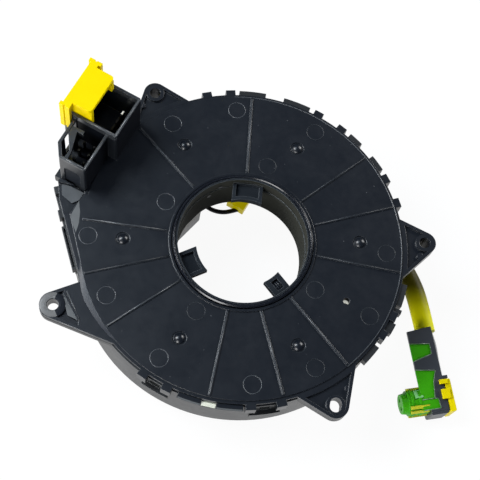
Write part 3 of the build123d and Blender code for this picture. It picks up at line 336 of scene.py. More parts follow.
@dataclass(frozen=True)
class Moulding:
    """Injection-moulded plastic: eroded grain, flow clouds, soft edges painted lighter as wear and as painted
    highlight, dust.
    """

    name: str
    colour: Colour
    roughness: float
    grain: float = 0.35
    grain_depth: float = 0.006
    cloud: float = 0.12
    edge_radius: float = 0.15
    edge_lift: float = 0.35
    dust: float = 0.0
    gloss: float = 0.5
    # Emission strength: a painted glow, on a part that is no lamp.
    painted_glow: float = 0.0
    edge_colour: Colour | None = None
    well: Well | None = None
    polish_and_highlight: PolishAndHighlight | None = None

    # Scales of the patterns per millimetre, and the ranges over which wear, painted edge highlights and dust
    # show.
    FINE_SCALE: ClassVar[float] = 2.6
    GRAIN_SHARE: ClassVar[float] = 0.6
    CLOUD_SCALE: ClassVar[float] = 0.09
    PATCH_SCALE: ClassVar[float] = 0.45
    PATCH_CENTRE: ClassVar[Point] = (7.0, 3.0, 1.0)
    WORN_AND_LIT_EDGE: ClassVar[Pair] = (0.004, 0.12)
    LIT_EDGE: ClassVar[Pair] = (0.002, 0.08)
    EDGE_GAIN: ClassVar[float] = 2.2
    EDGE_FLOOR: ClassVar[float] = 0.012
    SPECK_SCALE: ClassVar[float] = 0.42
    SPECK_SIZE: ClassVar[Pair] = (0.02, 0.075)
    SPECK_COLOUR: ClassVar[Colour] = (0.35, 0.36, 0.38)

    def make(self) -> bpy.types.Material:
        """Builds the material.

        Returns:
            The material.
        """
        tree = ShaderTree(self.name)
        place = tree.place()
        cloud = tree.noise(place, self.CLOUD_SCALE, detail=4.0, rough=0.6, warp=0.4)
        patch = tree.noise(tree.place(shift=self.PATCH_CENTRE), self.PATCH_SCALE)
        normal = tree.rounded(self.edge_radius)
        edge = self.edge_share(tree, normal)
        # Edges painted lighter in patches: partly wear, partly painted highlight.
        lift = edge.smooth(*self.WORN_AND_LIT_EDGE) * patch.smooth(0.2, 0.7) * self.edge_lift
        rough = self.roughness + (cloud - 0.5) * 0.16 + (patch - 0.5) * 0.08
        # Raised detail: smoother, with its edges and faces painted lighter as painted highlights.
        if self.polish_and_highlight is not None:
            raised = self.polish_and_highlight.share(tree, place)
            lift = lift + edge.smooth(*self.LIT_EDGE) * raised * self.polish_and_highlight.edge_lift
            lift = lift + raised * (patch * 0.5 + 0.5) * self.polish_and_highlight.face_lift
            rough = rough * (1 - raised * (1 - self.polish_and_highlight.roughness_share))
        colour = tree.blend(lift, self.base(tree, place, cloud), self.edge_light())
        if self.dust > 0:
            spots = self.specks(tree, place)
            colour = tree.blend(spots * self.dust, colour, self.SPECK_COLOUR)
            rough = rough + spots * 0.3
        grain = tree.cells(place, 1 / self.grain, "SMOOTH_F1")
        fine = tree.noise(place, self.FINE_SCALE / self.grain, detail=2.0, rough=0.6)
        height = grain * self.GRAIN_SHARE + fine * (1 - self.GRAIN_SHARE)
        tree.surface(
            Base_Color=colour, Roughness=rough, Normal=tree.bump(height, self.grain_depth, normal),
            Specular_IOR_Level=self.gloss, Emission_Color=colour, Emission_Strength=self.painted_glow,
        )
        return tree.material

    def edge_share(self, tree: ShaderTree, normal: Value) -> Value:
        """How far the rounded normal leans from the true one.

        Args:
            tree: The material's tree.
            normal: The rounded normal.

        Returns:
            The share, which is 0 on a plain face.
        """
        facing = tree.node("ShaderNodeNewGeometry", out="Normal")
        settings = {"operation": "DOT_PRODUCT"}
        return 1 - tree.node("ShaderNodeVectorMath", settings, {0: normal, 1: facing}, "Value")

    def edge_light(self) -> Colour:
        """Colour of an edge that is partly worn and partly a painted highlight: its own, or a lighter shade
        of the plastic.
        """
        return self.edge_colour or tuple(
            min(1.0, channel * self.EDGE_GAIN + self.EDGE_FLOOR) for channel in self.colour
        )

    def base(self, tree: ShaderTree, place: Value, cloud: Value) -> Value:
        """Plain colour under wear, painted highlights and dust.

        Args:
            tree: The material's tree.
            place: Object coordinates in millimetres.
            cloud: Noise of the flow clouds.

        Returns:
            The clouded colour, with the well's painted tone on its wall.
        """
        plain = self.colour
        if self.well is not None:
            plain = tree.blend(self.well.share(tree, place), self.colour, self.well.colour)
        shade = (cloud - 0.5) * self.cloud * 2 + 1
        return tree.node("ShaderNodeVectorMath", {"operation": "SCALE"}, {0: plain, "Scale": shade})

    def specks(self, tree: ShaderTree, place: Value) -> Value:
        """Scattered specks of dust.

        Args:
            tree: The material's tree.
            place: Object coordinates in millimetres.

        Returns:
            1 on a speck and 0 elsewhere.
        """
        near = 1 - tree.cells(place, self.SPECK_SCALE).smooth(*self.SPECK_SIZE)
        return near * tree.noise(place, 0.9, detail=1.0).smooth(0.52, 0.6)


@dataclass(frozen=True)
class TinnedMetal:
    """Bright drawn metal of the terminals, with fine draw lines."""

    name: str
    colour: Colour
    line_axis: Axis = Axis.Z
    roughness: float = 0.28
    tarnish: float = 0.62

    def make(self) -> bpy.types.Material:
        """Builds the material.

        Returns:
            The material.
        """
        tree = ShaderTree(self.name)
        stretch = tuple(0.15 if part else 6.0 for part in self.line_axis.value)
        lines = tree.noise(tree.place(stretch), 1.6)
        dull = tree.noise(tree.place(), 0.7, detail=4.0).smooth(0.45, 0.75)
        dark = tuple(channel * self.tarnish for channel in self.colour)
        tree.surface(
            Base_Color=tree.blend(dull, self.colour, dark),
            Roughness=self.roughness + (lines - 0.5) * 0.2,
            Metallic=1.0,
            Normal=tree.bump(lines, 0.004, tree.rounded(0.08)),
        )
        return tree.material


@dataclass(frozen=True)
class SoftSkin:
    """Flexible skin of a lead or sleeve: matt, faintly creased, handled, with painted shade along Y where
    asked.
    """

    name: str
    colour: Colour
    shade: Colour
    roughness: float
    crease: float
    crease_depth: float
    gloss: float = 0.3
    # Painted shade: where along Y the skin starts to darken, where it is fully dark, and the dark colour.
    painted_shade: tuple[float, float, Colour] | None = None

    def make(self) -> bpy.types.Material:
        """Builds the material; with painted shade, the skin darkens from one place along Y to another.

        Returns:
            The material.
        """
        tree = ShaderTree(self.name)
        place = tree.place()
        crease = tree.noise(place, 1 / self.crease, detail=4.0, rough=0.55, warp=0.6)
        smear = tree.noise(place, 0.16)
        pores = tree.cells(place, 5.0)
        colour = tree.blend(smear.smooth(0.35, 0.7) * 0.8, self.colour, self.shade)
        if self.painted_shade is not None:
            shade_start, shade_full, dark = self.painted_shade
            _, along, _ = tree.part_of(place)
            colour = tree.blend((along + smear * 4).smooth(shade_start, shade_full), colour, dark)
        tree.surface(
            Base_Color=colour,
            Roughness=self.roughness + (smear - 0.5) * 0.2,
            Specular_IOR_Level=self.gloss,
            Normal=tree.bump(crease * 0.8 + pores * 0.2, self.crease_depth),
        )
        return tree.material


@dataclass(frozen=True)
class RibbonFilm:
    """Amber film with flat copper lines that run along the ribbon."""

    name: str
    film: Colour
    copper: Colour
    line_pitch: float

    def make(self) -> bpy.types.Material:
        """Builds the material.

        Returns:
            The material.
        """
        tree = ShaderTree(self.name)
        place = tree.place()
        _, _, height = tree.part_of(place)
        band = tree.node("ShaderNodeMath", {"operation": "PINGPONG"}, {0: height, 1: self.line_pitch / 2})
        line = band.smooth(self.line_pitch * 0.16, self.line_pitch * 0.22)
        cloud = tree.noise(place, 0.2)
        tree.surface(
            Base_Color=tree.blend(line, self.film, self.copper),
            Metallic=line * 0.7,
            Roughness=0.24 + cloud * 0.15,
            Coat_Weight=0.6,
            Coat_Roughness=0.12,
            Normal=tree.bump(line, 0.02),
        )
        return tree.material


@dataclass
class Table:
    """Pale table under the part: white to the eye, with the part's soft shadow."""

    size: float = 3.0
    colour: Colour = (0.86, 0.865, 0.87)
    shadow_share: float = 0.06
    gap: float = 0.0002

    def finish(self) -> bpy.types.Material:
        """Builds the table's material.

        Returns:
            The material.
        """
        tree = ShaderTree("table_white")
        path = tree.node("ShaderNodeLightPath")
        outputs = path.socket.node.outputs
        seen = Value(tree, outputs["Is Camera Ray"])
        seen = seen.largest(Value(tree, outputs["Is Glossy Ray"]))
        seen = seen.largest(Value(tree, outputs["Is Transmission Ray"]))
        fleck = tree.noise(tree.place(), 0.02, detail=2.0)
        tree.surface(Base_Color=self.colour, Roughness=0.85 + fleck * 0.05, Specular_IOR_Level=0.0)
        light = tree.node("ShaderNodeEmission", inputs={"Color": (1.0, 1.0, 1.0), "Strength": 1.0})
        plain = Value(tree, tree.shader.outputs[0])
        mix = tree.node("ShaderNodeMixShader", inputs={0: seen * (1 - self.shadow_share), 1: plain, 2: light})
        tree.links.new(mix.socket, tree.output.inputs["Surface"])
        return tree.material

    def build(self) -> None:
        """Lays the table just under the part."""
        shape = bmesh.new()
        bmesh.ops.create_grid(shape, x_segments=2, y_segments=2, size=self.size / 2)
        bmesh.ops.translate(shape, verts=shape.verts, vec=(0.0, 0.0, FLOOR_Z - self.gap))
        table = place_mesh("table", shape)
        table.data.materials.append(self.finish())
        log.info("table laid")


def place_mesh(name: str, shape: bmesh.types.BMesh) -> bpy.types.Object:
    """Turns a finished shape into an object at the origin.

    Args:
        name: The object's name.
        shape: The shape, which is freed.

    Returns:
        The object, in the scene.
    """
    mesh = bpy.data.meshes.new(name)
    shape.to_mesh(mesh)
    shape.free()
    made = bpy.data.objects.new(name, mesh)
    bpy.context.scene.collection.objects.link(made)
    return made


def polar(radius: float, angle: float, height: float = 0.0) -> Vector:
    """Point about the bore axis, from millimetres and degrees, in metres."""
    turn = math.radians(angle)
    return Vector((radius * math.cos(turn), radius * math.sin(turn), height)) * MM


def outward(angle: float) -> Vector:
    """Unit vector away from the bore axis, at an angle in degrees."""
    return polar(1.0, angle).normalized()


def rise(height: float) -> Vector:
    """Step straight up, from millimetres, in metres."""
    return Vector((0.0, 0.0, height)) * MM


def socket_point(out: float, left: float, height: float) -> Vector:
    """Point in the column socket's own frame.

    Args:
        out: Distance outwards from the bore axis, in millimetres.
        left: Distance to the left, seen from the axis, in millimetres.
        height: Height, in millimetres.

    Returns:
        The point, in metres.
    """
    turn = math.radians(SOCKET_HEADING)
    x = out * math.cos(turn) - left * math.sin(turn)
    y = out * math.sin(turn) + left * math.cos(turn)
    return Vector((x, y, height)) * MM


def add_bead(shape: bmesh.types.BMesh, start: Vector, end: Vector, radius: float, flat: float = 0.6) -> None:
    """Adds a straight rounded bead to a shape.

    Args:
        shape: The shape it joins.
        start: One end of its middle line, in metres.
        end: The other end.
        radius: Half its width, in millimetres.
        flat: Its height as a share of its width.
    """
    along = end - start
    side = along.cross(UP).normalized()
    ring = []
    for corner in range(BEAD_CORNERS):
        turn = math.tau * corner / BEAD_CORNERS
        offset = side * math.cos(turn) + UP * flat * math.sin(turn)
        ring.append(start + offset * radius * MM)
    add_prism(shape, ring, along)


def add_prism(shape: bmesh.types.BMesh, ring: Iterable[Vector], along: Vector) -> None:
    """Closes a ring of corners and draws it out along a vector.

    Args:
        shape: The shape it joins.
        ring: The corners in order, in metres.
        along: How far and which way the face is drawn, in metres.
    """
    face = shape.faces.new([shape.verts.new(corner) for corner in ring])
    grown = bmesh.ops.extrude_face_region(shape, geom=[face])
    far = [item for item in grown["geom"] if isinstance(item, bmesh.types.BMVert)]
    bmesh.ops.translate(shape, verts=far, vec=along)


def finish_piece(
    name: str, shape: bmesh.types.BMesh, material: bpy.types.Material, body: str,
    smooth: bool = False,
) -> None:
    """Turns a small piece's faces outwards, dresses it and hangs it on its body.

    Args:
        name: The piece's name.
        shape: Its shape.
        material: Its finish.
        body: The body that it rides on.
        smooth: Whether its faces are shaded smooth.
    """
    bmesh.ops.recalc_face_normals(shape, faces=shape.faces)
    piece = place_mesh(name, shape)
    for polygon in piece.data.polygons:
        polygon.use_smooth = smooth
    piece.data.materials.append(material)
    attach(piece, body)
    log.info("%s added", name)


@dataclass
class Cords:
    """The airbag lead's sleeve and the short horn lead."""

    sleeve_height: float = -9.5
    sleeve_radius: float = 3.4
    sleeve_length: float = 52.5
    sleeve_route: Pairs = (
        (37.9, 20.5), (48.7, 13.9), (57.2, 5.4), (62.2, -4.4), (64.2, -13.5), (65.45, -21.1),
    )
    horn_height: float = -12.1
    horn_radius: float = 0.8
    horn_length: float = 31.6
    horn_route: Pairs = (
        (-22.9, 27.6), (-21.0, 29.7), (-18.3, 30.7), (-15.4, 30.3), (-13.1, 28.6), (-11.6, 25.8),
        (-9.8, 23.5), (-7.1, 22.1), (-4.1, 21.6), (-0.9, 22.2), (2.1, 23.3),
    )

    def curve(self, name: str, route: Pairs, height: float, radius: float) -> bpy.types.Object:
        """Lays one smooth cord.

        Args:
            name: The cord's name.
            route: Its control points, in millimetres.
            height: The height of its middle, in millimetres.
            radius: Its radius, in millimetres.

        Returns:
            The curve object.
        """
        data = bpy.data.curves.new(name, "CURVE")
        data.dimensions = "3D"
        data.bevel_depth = radius * MM
        data.bevel_resolution = 8
        data.resolution_u = 16
        data.use_fill_caps = True
        spline = data.splines.new("NURBS")
        points = [(x * MM, y * MM, height * MM, 1.0) for x, y in route]
        spline.points.add(len(points) - 1)
        for point, place in zip(spline.points, points):
            point.co = place
        spline.order_u = 3
        spline.use_endpoint_u = True
        made = bpy.data.objects.new(name, data)
        bpy.context.scene.collection.objects.link(made)
        return made

    def build(self, finishes: "Finishes") -> None:
        """Args:
            finishes: The finishes that dress them.
        """
        sleeve = self.curve("airbag_lead_sleeve", self.sleeve_route, self.sleeve_height, self.sleeve_radius)
        sleeve.data.materials.append(finishes.material("sleeve_yellow"))
        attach(sleeve, "rotor")
        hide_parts("airbag_sleeve")
        on_plug = ["airbag_wires", "airbag_plug_cover", "airbag_plug_body", "airbag_plug_keys"]
        on_plug += ["airbag_plug_contacts", "airbag_plug_lock"]
        horn = self.curve("horn_lead_wire", self.horn_route, self.horn_height, self.horn_radius)
        horn.data.materials.append(finishes.material("lead_black"))
        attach(horn, "rotor")
        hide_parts("horn_lead")
        log.info("cords laid")


@dataclass
class CoverMarks:
    """Round ejector marks on the cover's face: thin raised witness rings, painted grey as highlights."""

    face: float = 17.0
    outer: float = 2.85
    width: float = 0.24
    height: float = 0.08
    section_steps: int = 5
    segments: int = 40
    # Each finish, and the radius and angle of every ring in it.
    groups: tuple[tuple[str, Pairs], ...] = (
        ("crest_painted_highlight", (
            (47.0, 92.3), (47.0, 119.7), (49.3, 180.0), (47.0, 204.7), (47.0, 236.7), (47.0, 273.6),
            (28.0, 153.0),
        )),
        ("crest_painted_dim_highlight", (
            (47.0, 58.5), (47.0, 298.8), (47.0, 329.4), (47.0, 357.0), (28.0, 72.9), (28.0, 238.5),
            (28.0, 325.8),
        )),
    )

    def build(self, finishes: "Finishes") -> None:
        """Raises one ring at each radius and angle; the right-hand ones get a fainter painted highlight.

        Args:
            finishes: The finishes that dress it.
        """
        for name, places in self.groups:
            shape = bmesh.new()
            for radius, angle in places:
                self.ring(shape, polar(radius, angle, self.face))
            material = finishes.material(name)
            finish_piece(f"ejector_marks_{name}", shape, material, "stator", smooth=True)

    def ring(self, shape: bmesh.types.BMesh, centre: Vector) -> None:
        """Spins one ring's arched section about its centre.

        Args:
            shape: The shape it joins.
            centre: The ring's centre, in metres.
        """
        corners = []
        for step in range(self.section_steps + 1):
            turn = math.pi * step / self.section_steps
            reach = self.outer + self.width / 2 * math.cos(turn)
            height = self.height * math.sin(turn) - FACE_CLEARANCE
            corners.append(shape.verts.new(centre + Vector((reach, 0.0, height)) * MM))
        edges = [shape.edges.new(pair) for pair in zip(corners, corners[1:])]
        bmesh.ops.spin(
            shape, geom=[*corners, *edges], cent=centre, axis=UP,
            angle=math.tau, steps=self.segments, use_merge=True,
        )


@dataclass
class RibCrests:
    """Rounded crests along the cover's ribs, painted grey as highlights."""

    # Each finish, and the angles of the ribs in it.
    groups: tuple[tuple[str, tuple[float, ...]], ...] = (
        ("crest_painted_highlight", (86.5, 131.4, 173.7, 215.0, 258.5, 284.0, 309.3)),
        ("crest_painted_dim_highlight", (15.5, 37.3, 194.2, 350.0)),
    )
    first: float = 24.4
    last: float = 51.3
    top: float = 17.35
    bead: float = 0.19

    def build(self, finishes: "Finishes") -> None:
        """Lays one crest along each rib; those that face away from the light get a dimmer painted highlight.

        Args:
            finishes: The finishes that dress it.
        """
        for name, angles in self.groups:
            shape = bmesh.new()
            for angle in angles:
                ends = (polar(reach, angle, self.top) for reach in (self.first, self.last))
                add_bead(shape, *ends, self.bead)
            material = finishes.material(name)
            finish_piece(f"cover_rib_{name}", shape, material, "stator", smooth=True)


@dataclass
class LeftEar:
    """Sloping edge, tip of painted highlight and painted shade, web and ridge of painted highlight, and wall
    lines of the long left ear.
    """

    # Angles and radii of the slope's foot, and how far each of its rows is lifted.
    slope: Pairs = (
        (186.0, 52.05), (190.0, 52.5), (194.4, 53.15), (199.7, 53.76), (203.3, 53.93), (208.8, 53.48),
        (214.0, 53.1), (217.9, 52.76), (220.5, 52.1),
    )
    slope_lift: Point = (0.005, 0.06, 0.01)
    plate_edge: float = 51.95
    face: float = 17.0
    rim: float = 16.5
    # The tip's radius and angle about the bore, its wall, each part's finish, first angle and
    # sweep, and the section of its dome as reach and height above the rim.
    tip: Pair = (63.4, 201.3)
    tip_radius: float = 4.2
    tip_steps: int = 32
    # The tip's light sector is a painted highlight and its dark sector painted shade.
    tip_parts: tuple[tuple[str, float, float], ...] = (
        ("ear_painted_highlight", 73.0, 220.0), ("panel_painted_shade", -67.0, 140.0),
    )
    dome: Pairs = ((1.95, 0.16), (2.3, 0.22), (2.9, 0.2), (3.5, 0.12), (3.95, 0.04), (4.05, -0.02))
    web: Pairs = ((-55.86, -20.74), (-54.75, -19.73), (-51.19, -27.87), (-54.33, -26.36))
    web_skin: float = 0.04
    wall_first: float = 200.0
    wall_sweep: float = 48.8
    wall_steps: int = 7
    wall_end: Pair = (-39.86, -34.93)
    # Each line's name, finish, height and half width.
    # The seam is a line of painted shade where the ear's layers meet, the edge light a painted highlight.
    wall_lines: tuple[tuple[str, str, float, float], ...] = (
        ("seam", "shade_black", 14.5, 0.07), ("edge_light", "rim_painted_highlight", 16.38, 0.1),
    )
    ridge: Pairs = ((-54.97, -18.59), (-50.64, -27.86))
    ridge_bead: float = 0.22

    def build(self, finishes: "Finishes") -> None:
        """Adds the slope, the tip, the web, the wall's lines and the ridge.

        Args:
            finishes: The finishes that dress it.
        """
        self.add_slope(finishes)
        for name, first, sweep in self.tip_parts:
            self.add_tip(finishes, name, first, sweep)
        self.add_web(finishes)
        for name, finish, height, radius in self.wall_lines:
            self.add_wall_line(finishes, name, finish, height, radius)
        self.add_ridge(finishes)

    def add_slope(self, finishes: "Finishes") -> None:
        """Lays the sloping sheet from the plate's edge down to the ear's rim.

        Args:
            finishes: The finishes that dress it.
        """
        levels = (self.face, (self.face + self.rim) / 2, self.rim)
        shape = bmesh.new()
        rows = []
        for share, level, lift in zip((0.0, 0.5, 1.0), levels, self.slope_lift):
            row = []
            for angle, radius in self.slope:
                reach = self.plate_edge + (radius - self.plate_edge) * share
                row.append(shape.verts.new(polar(reach, angle, level + lift)))
            rows.append(row)
        for near, far in zip(rows, rows[1:]):
            for step in range(len(self.slope) - 1):
                shape.faces.new((near[step], near[step + 1], far[step + 1], far[step]))
        material = finishes.material("slope_satin")
        finish_piece("left_ear_slope", shape, material, "stator", smooth=True)

    def add_tip(self, finishes: "Finishes", name: str, first: float, sweep: float) -> None:
        """Spins one sector of the tip's low dome; one sector is a painted highlight, the other painted shade.

        Args:
            finishes: The finishes that dress it.
            name: The sector's finish.
            first: The angle at which it starts.
            sweep: The angle that it covers.
        """
        centre = polar(*self.tip, self.rim)
        shape = bmesh.new()
        profile = [shape.verts.new(centre + polar(1.0, first) * reach + rise(up)) for reach, up in self.dome]
        edges = [shape.edges.new(pair) for pair in zip(profile, profile[1:])]
        bmesh.ops.spin(
            shape, geom=[*profile, *edges], cent=centre, axis=UP,
            angle=math.radians(sweep), steps=self.tip_steps,
        )
        material = finishes.material(name)
        finish_piece(f"left_ear_{name}", shape, material, "stator", smooth=True)

    def add_web(self, finishes: "Finishes") -> None:
        """Adds the bright plate between the slope and the tip, a painted highlight.

        Args:
            finishes: The finishes that dress it.
        """
        shape = bmesh.new()
        ring = [Vector((x, y, self.rim - FACE_CLEARANCE)) * MM for x, y in self.web]
        add_prism(shape, ring, rise(self.web_skin))
        finish_piece("left_ear_web", shape, finishes.material("facet_painted_highlight"), "stator")

    def add_wall_line(
        self, finishes: "Finishes", name: str, finish: str, height: float, radius: float,
    ) -> None:
        """Runs one bead round the tip's wall and on along the ear's straight wall.

        Args:
            finishes: The finishes that dress it.
            name: What the line shows.
            finish: The line's finish.
            height: Its height.
            radius: Half its width.
        """
        shape = bmesh.new()
        shares = (step / self.wall_steps for step in range(self.wall_steps + 1))
        turns = (self.wall_first + self.wall_sweep * share for share in shares)
        route = [polar(*self.tip, height) + polar(self.tip_radius, turn) for turn in turns]
        route.append(Vector((*self.wall_end, height)) * MM)
        for start, end in zip(route, route[1:]):
            add_bead(shape, start, end, radius, 1.0)
        material = finishes.material(finish)
        finish_piece(f"left_ear_{name}", shape, material, "stator", smooth=True)

    def add_ridge(self, finishes: "Finishes") -> None:
        """Lays the bright bead along the ear's ridge, a painted highlight.

        Args:
            finishes: The finishes that dress it.
        """
        shape = bmesh.new()
        start, end = (Vector((x, y, self.rim)) * MM for x, y in self.ridge)
        add_bead(shape, start, end, self.ridge_bead)
        material = finishes.material("rim_painted_highlight")
        finish_piece("left_ear_ridge", shape, material, "stator", smooth=True)


@dataclass
class SocketTrim:
    """Painted highlights on the column socket's rims, painted shade in its dull panel and on its dark inner
    faces, and one terminal's painted glint.

    Places are given outwards and to the left in the socket's own frame.
    """

    main_top: float = 33.8
    side_top: float = 32.0
    main_rims: tuple[Pairs, ...] = (((49.55, -19.25), (49.55, -4.25)), ((49.55, -4.25), (60.0, -4.25)))
    side_rims: tuple[Pairs, ...] = (((52.45, -3.3), (52.45, 9.75)), ((52.45, 9.75), (61.0, 9.75)))
    rim_bead: float = 0.24
    rim_flat: float = 0.25
    panel: Pairs = (
        (54.05, 17.05), (59.75, 17.05), (59.75, 24.6), (59.55, 25.4), (59.0, 25.9), (58.2, 26.15),
        (55.6, 26.15), (54.8, 25.9), (54.25, 25.4), (54.05, 24.6),
    )
    panel_place: float = 9.81
    # Both ends, foot and top of each shaded face.
    shaded_faces: tuple[tuple[Pair, Pair, float, float], ...] = (
        ((49.08, -19.0), (49.08, -4.6), 17.05, 33.4), ((51.98, -3.2), (51.98, 9.5), 17.05, 31.6),
        ((53.0, -3.78), (63.2, -3.78), 19.0, 31.4),
    )
    cavity_floors: tuple[Pairs, ...] = (((50.1, -18.7), (67.5, -4.8)), ((53.0, -3.7), (60.0, 9.2)))
    cavity_floor: float = 19.0
    glint: Pairs = ((54.0, -16.9), (54.0, -15.7))
    glint_height: float = 25.0
    glint_bead: float = 0.3

    def build(self, finishes: "Finishes") -> None:
        """Adds the rims, the panel, the shade and the glint.

        Args:
            finishes: The finishes that dress it.
        """
        self.add_rims(finishes)
        self.add_panel(finishes)
        self.add_shade(finishes)
        self.add_glint(finishes)

    def add_rims(self, finishes: "Finishes") -> None:
        """Lays a flat bead along the top of each wall, a painted highlight.

        Args:
            finishes: The finishes that dress it.
        """
        shape = bmesh.new()
        for rims, top in ((self.main_rims, self.main_top), (self.side_rims, self.side_top)):
            for ends in rims:
                add_bead(shape, *(socket_point(*end, top) for end in ends), self.rim_bead, self.rim_flat)
        material = finishes.material("rim_painted_highlight")
        finish_piece("socket_rims", shape, material, "stator", smooth=True)

    def add_panel(self, finishes: "Finishes") -> None:
        """Adds the arched panel in the lower socket's near face, a dull sheet of painted shade in its recess.

        Args:
            finishes: The finishes that dress it.
        """
        shape = bmesh.new()
        ring = (socket_point(out, self.panel_place, height) for out, height in self.panel)
        add_prism(shape, ring, socket_point(0.0, SKIN, 0.0))
        finish_piece("socket_panel", shape, finishes.material("panel_painted_shade"), "stator")

    def add_shade(self, finishes: "Finishes") -> None:
        """Lines the faces in the socket's own shadow and the floors of both cavities.

        Args:
            finishes: The finishes that dress it.
        """
        shape = bmesh.new()
        for start, end, low, high in self.shaded_faces:
            corners = ((start, low), (end, low), (end, high), (start, high))
            across = (-SKIN, 0.0) if start[0] == end[0] else (0.0, SKIN)
            ring = (socket_point(*spot, height) for spot, height in corners)
            add_prism(shape, ring, socket_point(*across, 0.0))
        for (near, right), (far, left) in self.cavity_floors:
            corners = ((near, right), (far, right), (far, left), (near, left))
            ring = (socket_point(*corner, self.cavity_floor) for corner in corners)
            add_prism(shape, ring, rise(SKIN))
        finish_piece("socket_shade", shape, finishes.material("shade_black"), "stator")

    def add_glint(self, finishes: "Finishes") -> None:
        """Lays a painted glint on the tip of the one blade that shows.

        Args:
            finishes: The finishes that dress it.
        """
        shape = bmesh.new()
        add_bead(shape, *(socket_point(*end, self.glint_height) for end in self.glint), self.glint_bead)
        material = finishes.material("carrier_white")
        finish_piece("terminal_glint", shape, material, "stator", smooth=True)


@dataclass
class ShoulderFacets:
    """Two facets of the shoulder, beside the column socket's foot, painted light as painted highlights."""

    # Each facet's finish, height and corners.
    facets: tuple[tuple[str, float, Pairs], ...] = (
        ("facet_painted_dim_highlight", 15.4, (
            (-58.77, 18.91), (-51.36, 15.19), (-52.83, 12.67), (-55.01, 11.53), (-58.34, 14.18),
        )),
        ("facet_painted_highlight", 17.0, (
            (-55.02, 6.89), (-52.74, 11.83), (-52.2, 8.0), (-52.4, 4.0), (-53.2, 0.9), (-54.6, 4.3),
        )),
    )

    def build(self, finishes: "Finishes") -> None:
        """Adds both facets as thin plates.

        Args:
            finishes: The finishes that dress it.
        """
        for name, top, corners in self.facets:
            shape = bmesh.new()
            add_prism(shape, (Vector((x, y, top - FACE_CLEARANCE)) * MM for x, y in corners), rise(SKIN))
            finish_piece(f"shoulder_{name}", shape, finishes.material(name), "stator")


@dataclass
class RimDetail:
    """Stripes of painted shade and painted highlight on the front clip bars' tops, and the white liners seen
    in the rim's windows.
    """

    # First and last angle of each bar, and each stripe's finish, inner and outer radius.
    spans: Pairs = ((248.4, 256.5), (261.4, 270.3))
    span_inset: float = 0.25
    span_steps: int = 8
    bar_top: float = 15.7
    # The dark stripe is painted shade, the light one a painted highlight.
    stripes: tuple[tuple[str, float, float], ...] = (
        ("panel_painted_shade", 53.15, 54.35), ("facet_painted_highlight", 54.5, 54.92),
    )
    window_angles: tuple[float, ...] = (78.0, 259.0, 39.0)
    window_top: float = 14.3
    window_sill: float = 8.7
    liner_inner: float = 51.95
    liner_outer: float = 53.3
    liner_width: float = 4.9

    def build(self, finishes: "Finishes") -> None:
        """Adds the stripes and the liners.

        Args:
            finishes: The finishes that dress it.
        """
        for name, inner, outer in self.stripes:
            shape = bmesh.new()
            for first, last in self.spans:
                sweep = last - first - 2 * self.span_inset
                shares = (step / self.span_steps for step in range(self.span_steps + 1))
                angles = [first + self.span_inset + sweep * share for share in shares]
                path = [(outer, angle) for angle in angles] + [(inner, angle) for angle in reversed(angles)]
                add_prism(shape, (polar(*spot, self.bar_top - FACE_CLEARANCE) for spot in path), rise(SKIN))
            finish_piece(f"clip_bar_{name}", shape, finishes.material(name), "stator")
        shape = bmesh.new()
        for angle in self.window_angles:
            out = outward(angle) * MM
            side = UP.cross(out) * self.liner_width / 2
            near, far = out * self.liner_inner, out * self.liner_outer
            corners = (near - side, far - side, far + side, near + side)
            ring = (rise(self.window_sill) + corner for corner in corners)
            add_prism(shape, ring, rise(self.window_top - self.window_sill))
        finish_piece("window_liners", shape, finishes.material("liner_white"), "stator")


@dataclass
class LugLatch:
    """Dark ribbed latch that fills the slot of the narrow lug."""

    angle: float = 308.5
    middle: float = 17.9
    floor: float = 13.95
    top: float = 14.9
    length: float = 3.4
    width: float = 2.2
    ridges: Point = (-0.7, 0.0, 0.7)
    ridge_share: float = 0.9
    ridge_bead: float = 0.14

    def build(self, finishes: "Finishes") -> None:
        """Adds the latch and its ridges.

        Args:
            finishes: The finishes that dress it.
        """
        out = outward(self.angle) * MM
        side = UP.cross(out)
        centre = out * self.middle
        reach, half = out * self.length / 2, side * self.width / 2
        shape = bmesh.new()
        corners = (-reach - half, reach - half, reach + half, half - reach)
        ring = (centre + rise(self.floor) + corner for corner in corners)
        add_prism(shape, ring, rise(self.top - self.floor))
        finish_piece("lug_latch", shape, finishes.material("collar_black"), "rotor")
        # The ridges' grey is a painted highlight.
        shape = bmesh.new()
        for offset in self.ridges:
            middle = centre + side * offset + rise(self.top)
            end = reach * self.ridge_share
            add_bead(shape, middle - end, middle + end, self.ridge_bead, 1.0)
        material = finishes.material("crest_painted_highlight")
        finish_piece("lug_latch_ridges", shape, material, "rotor", smooth=True)


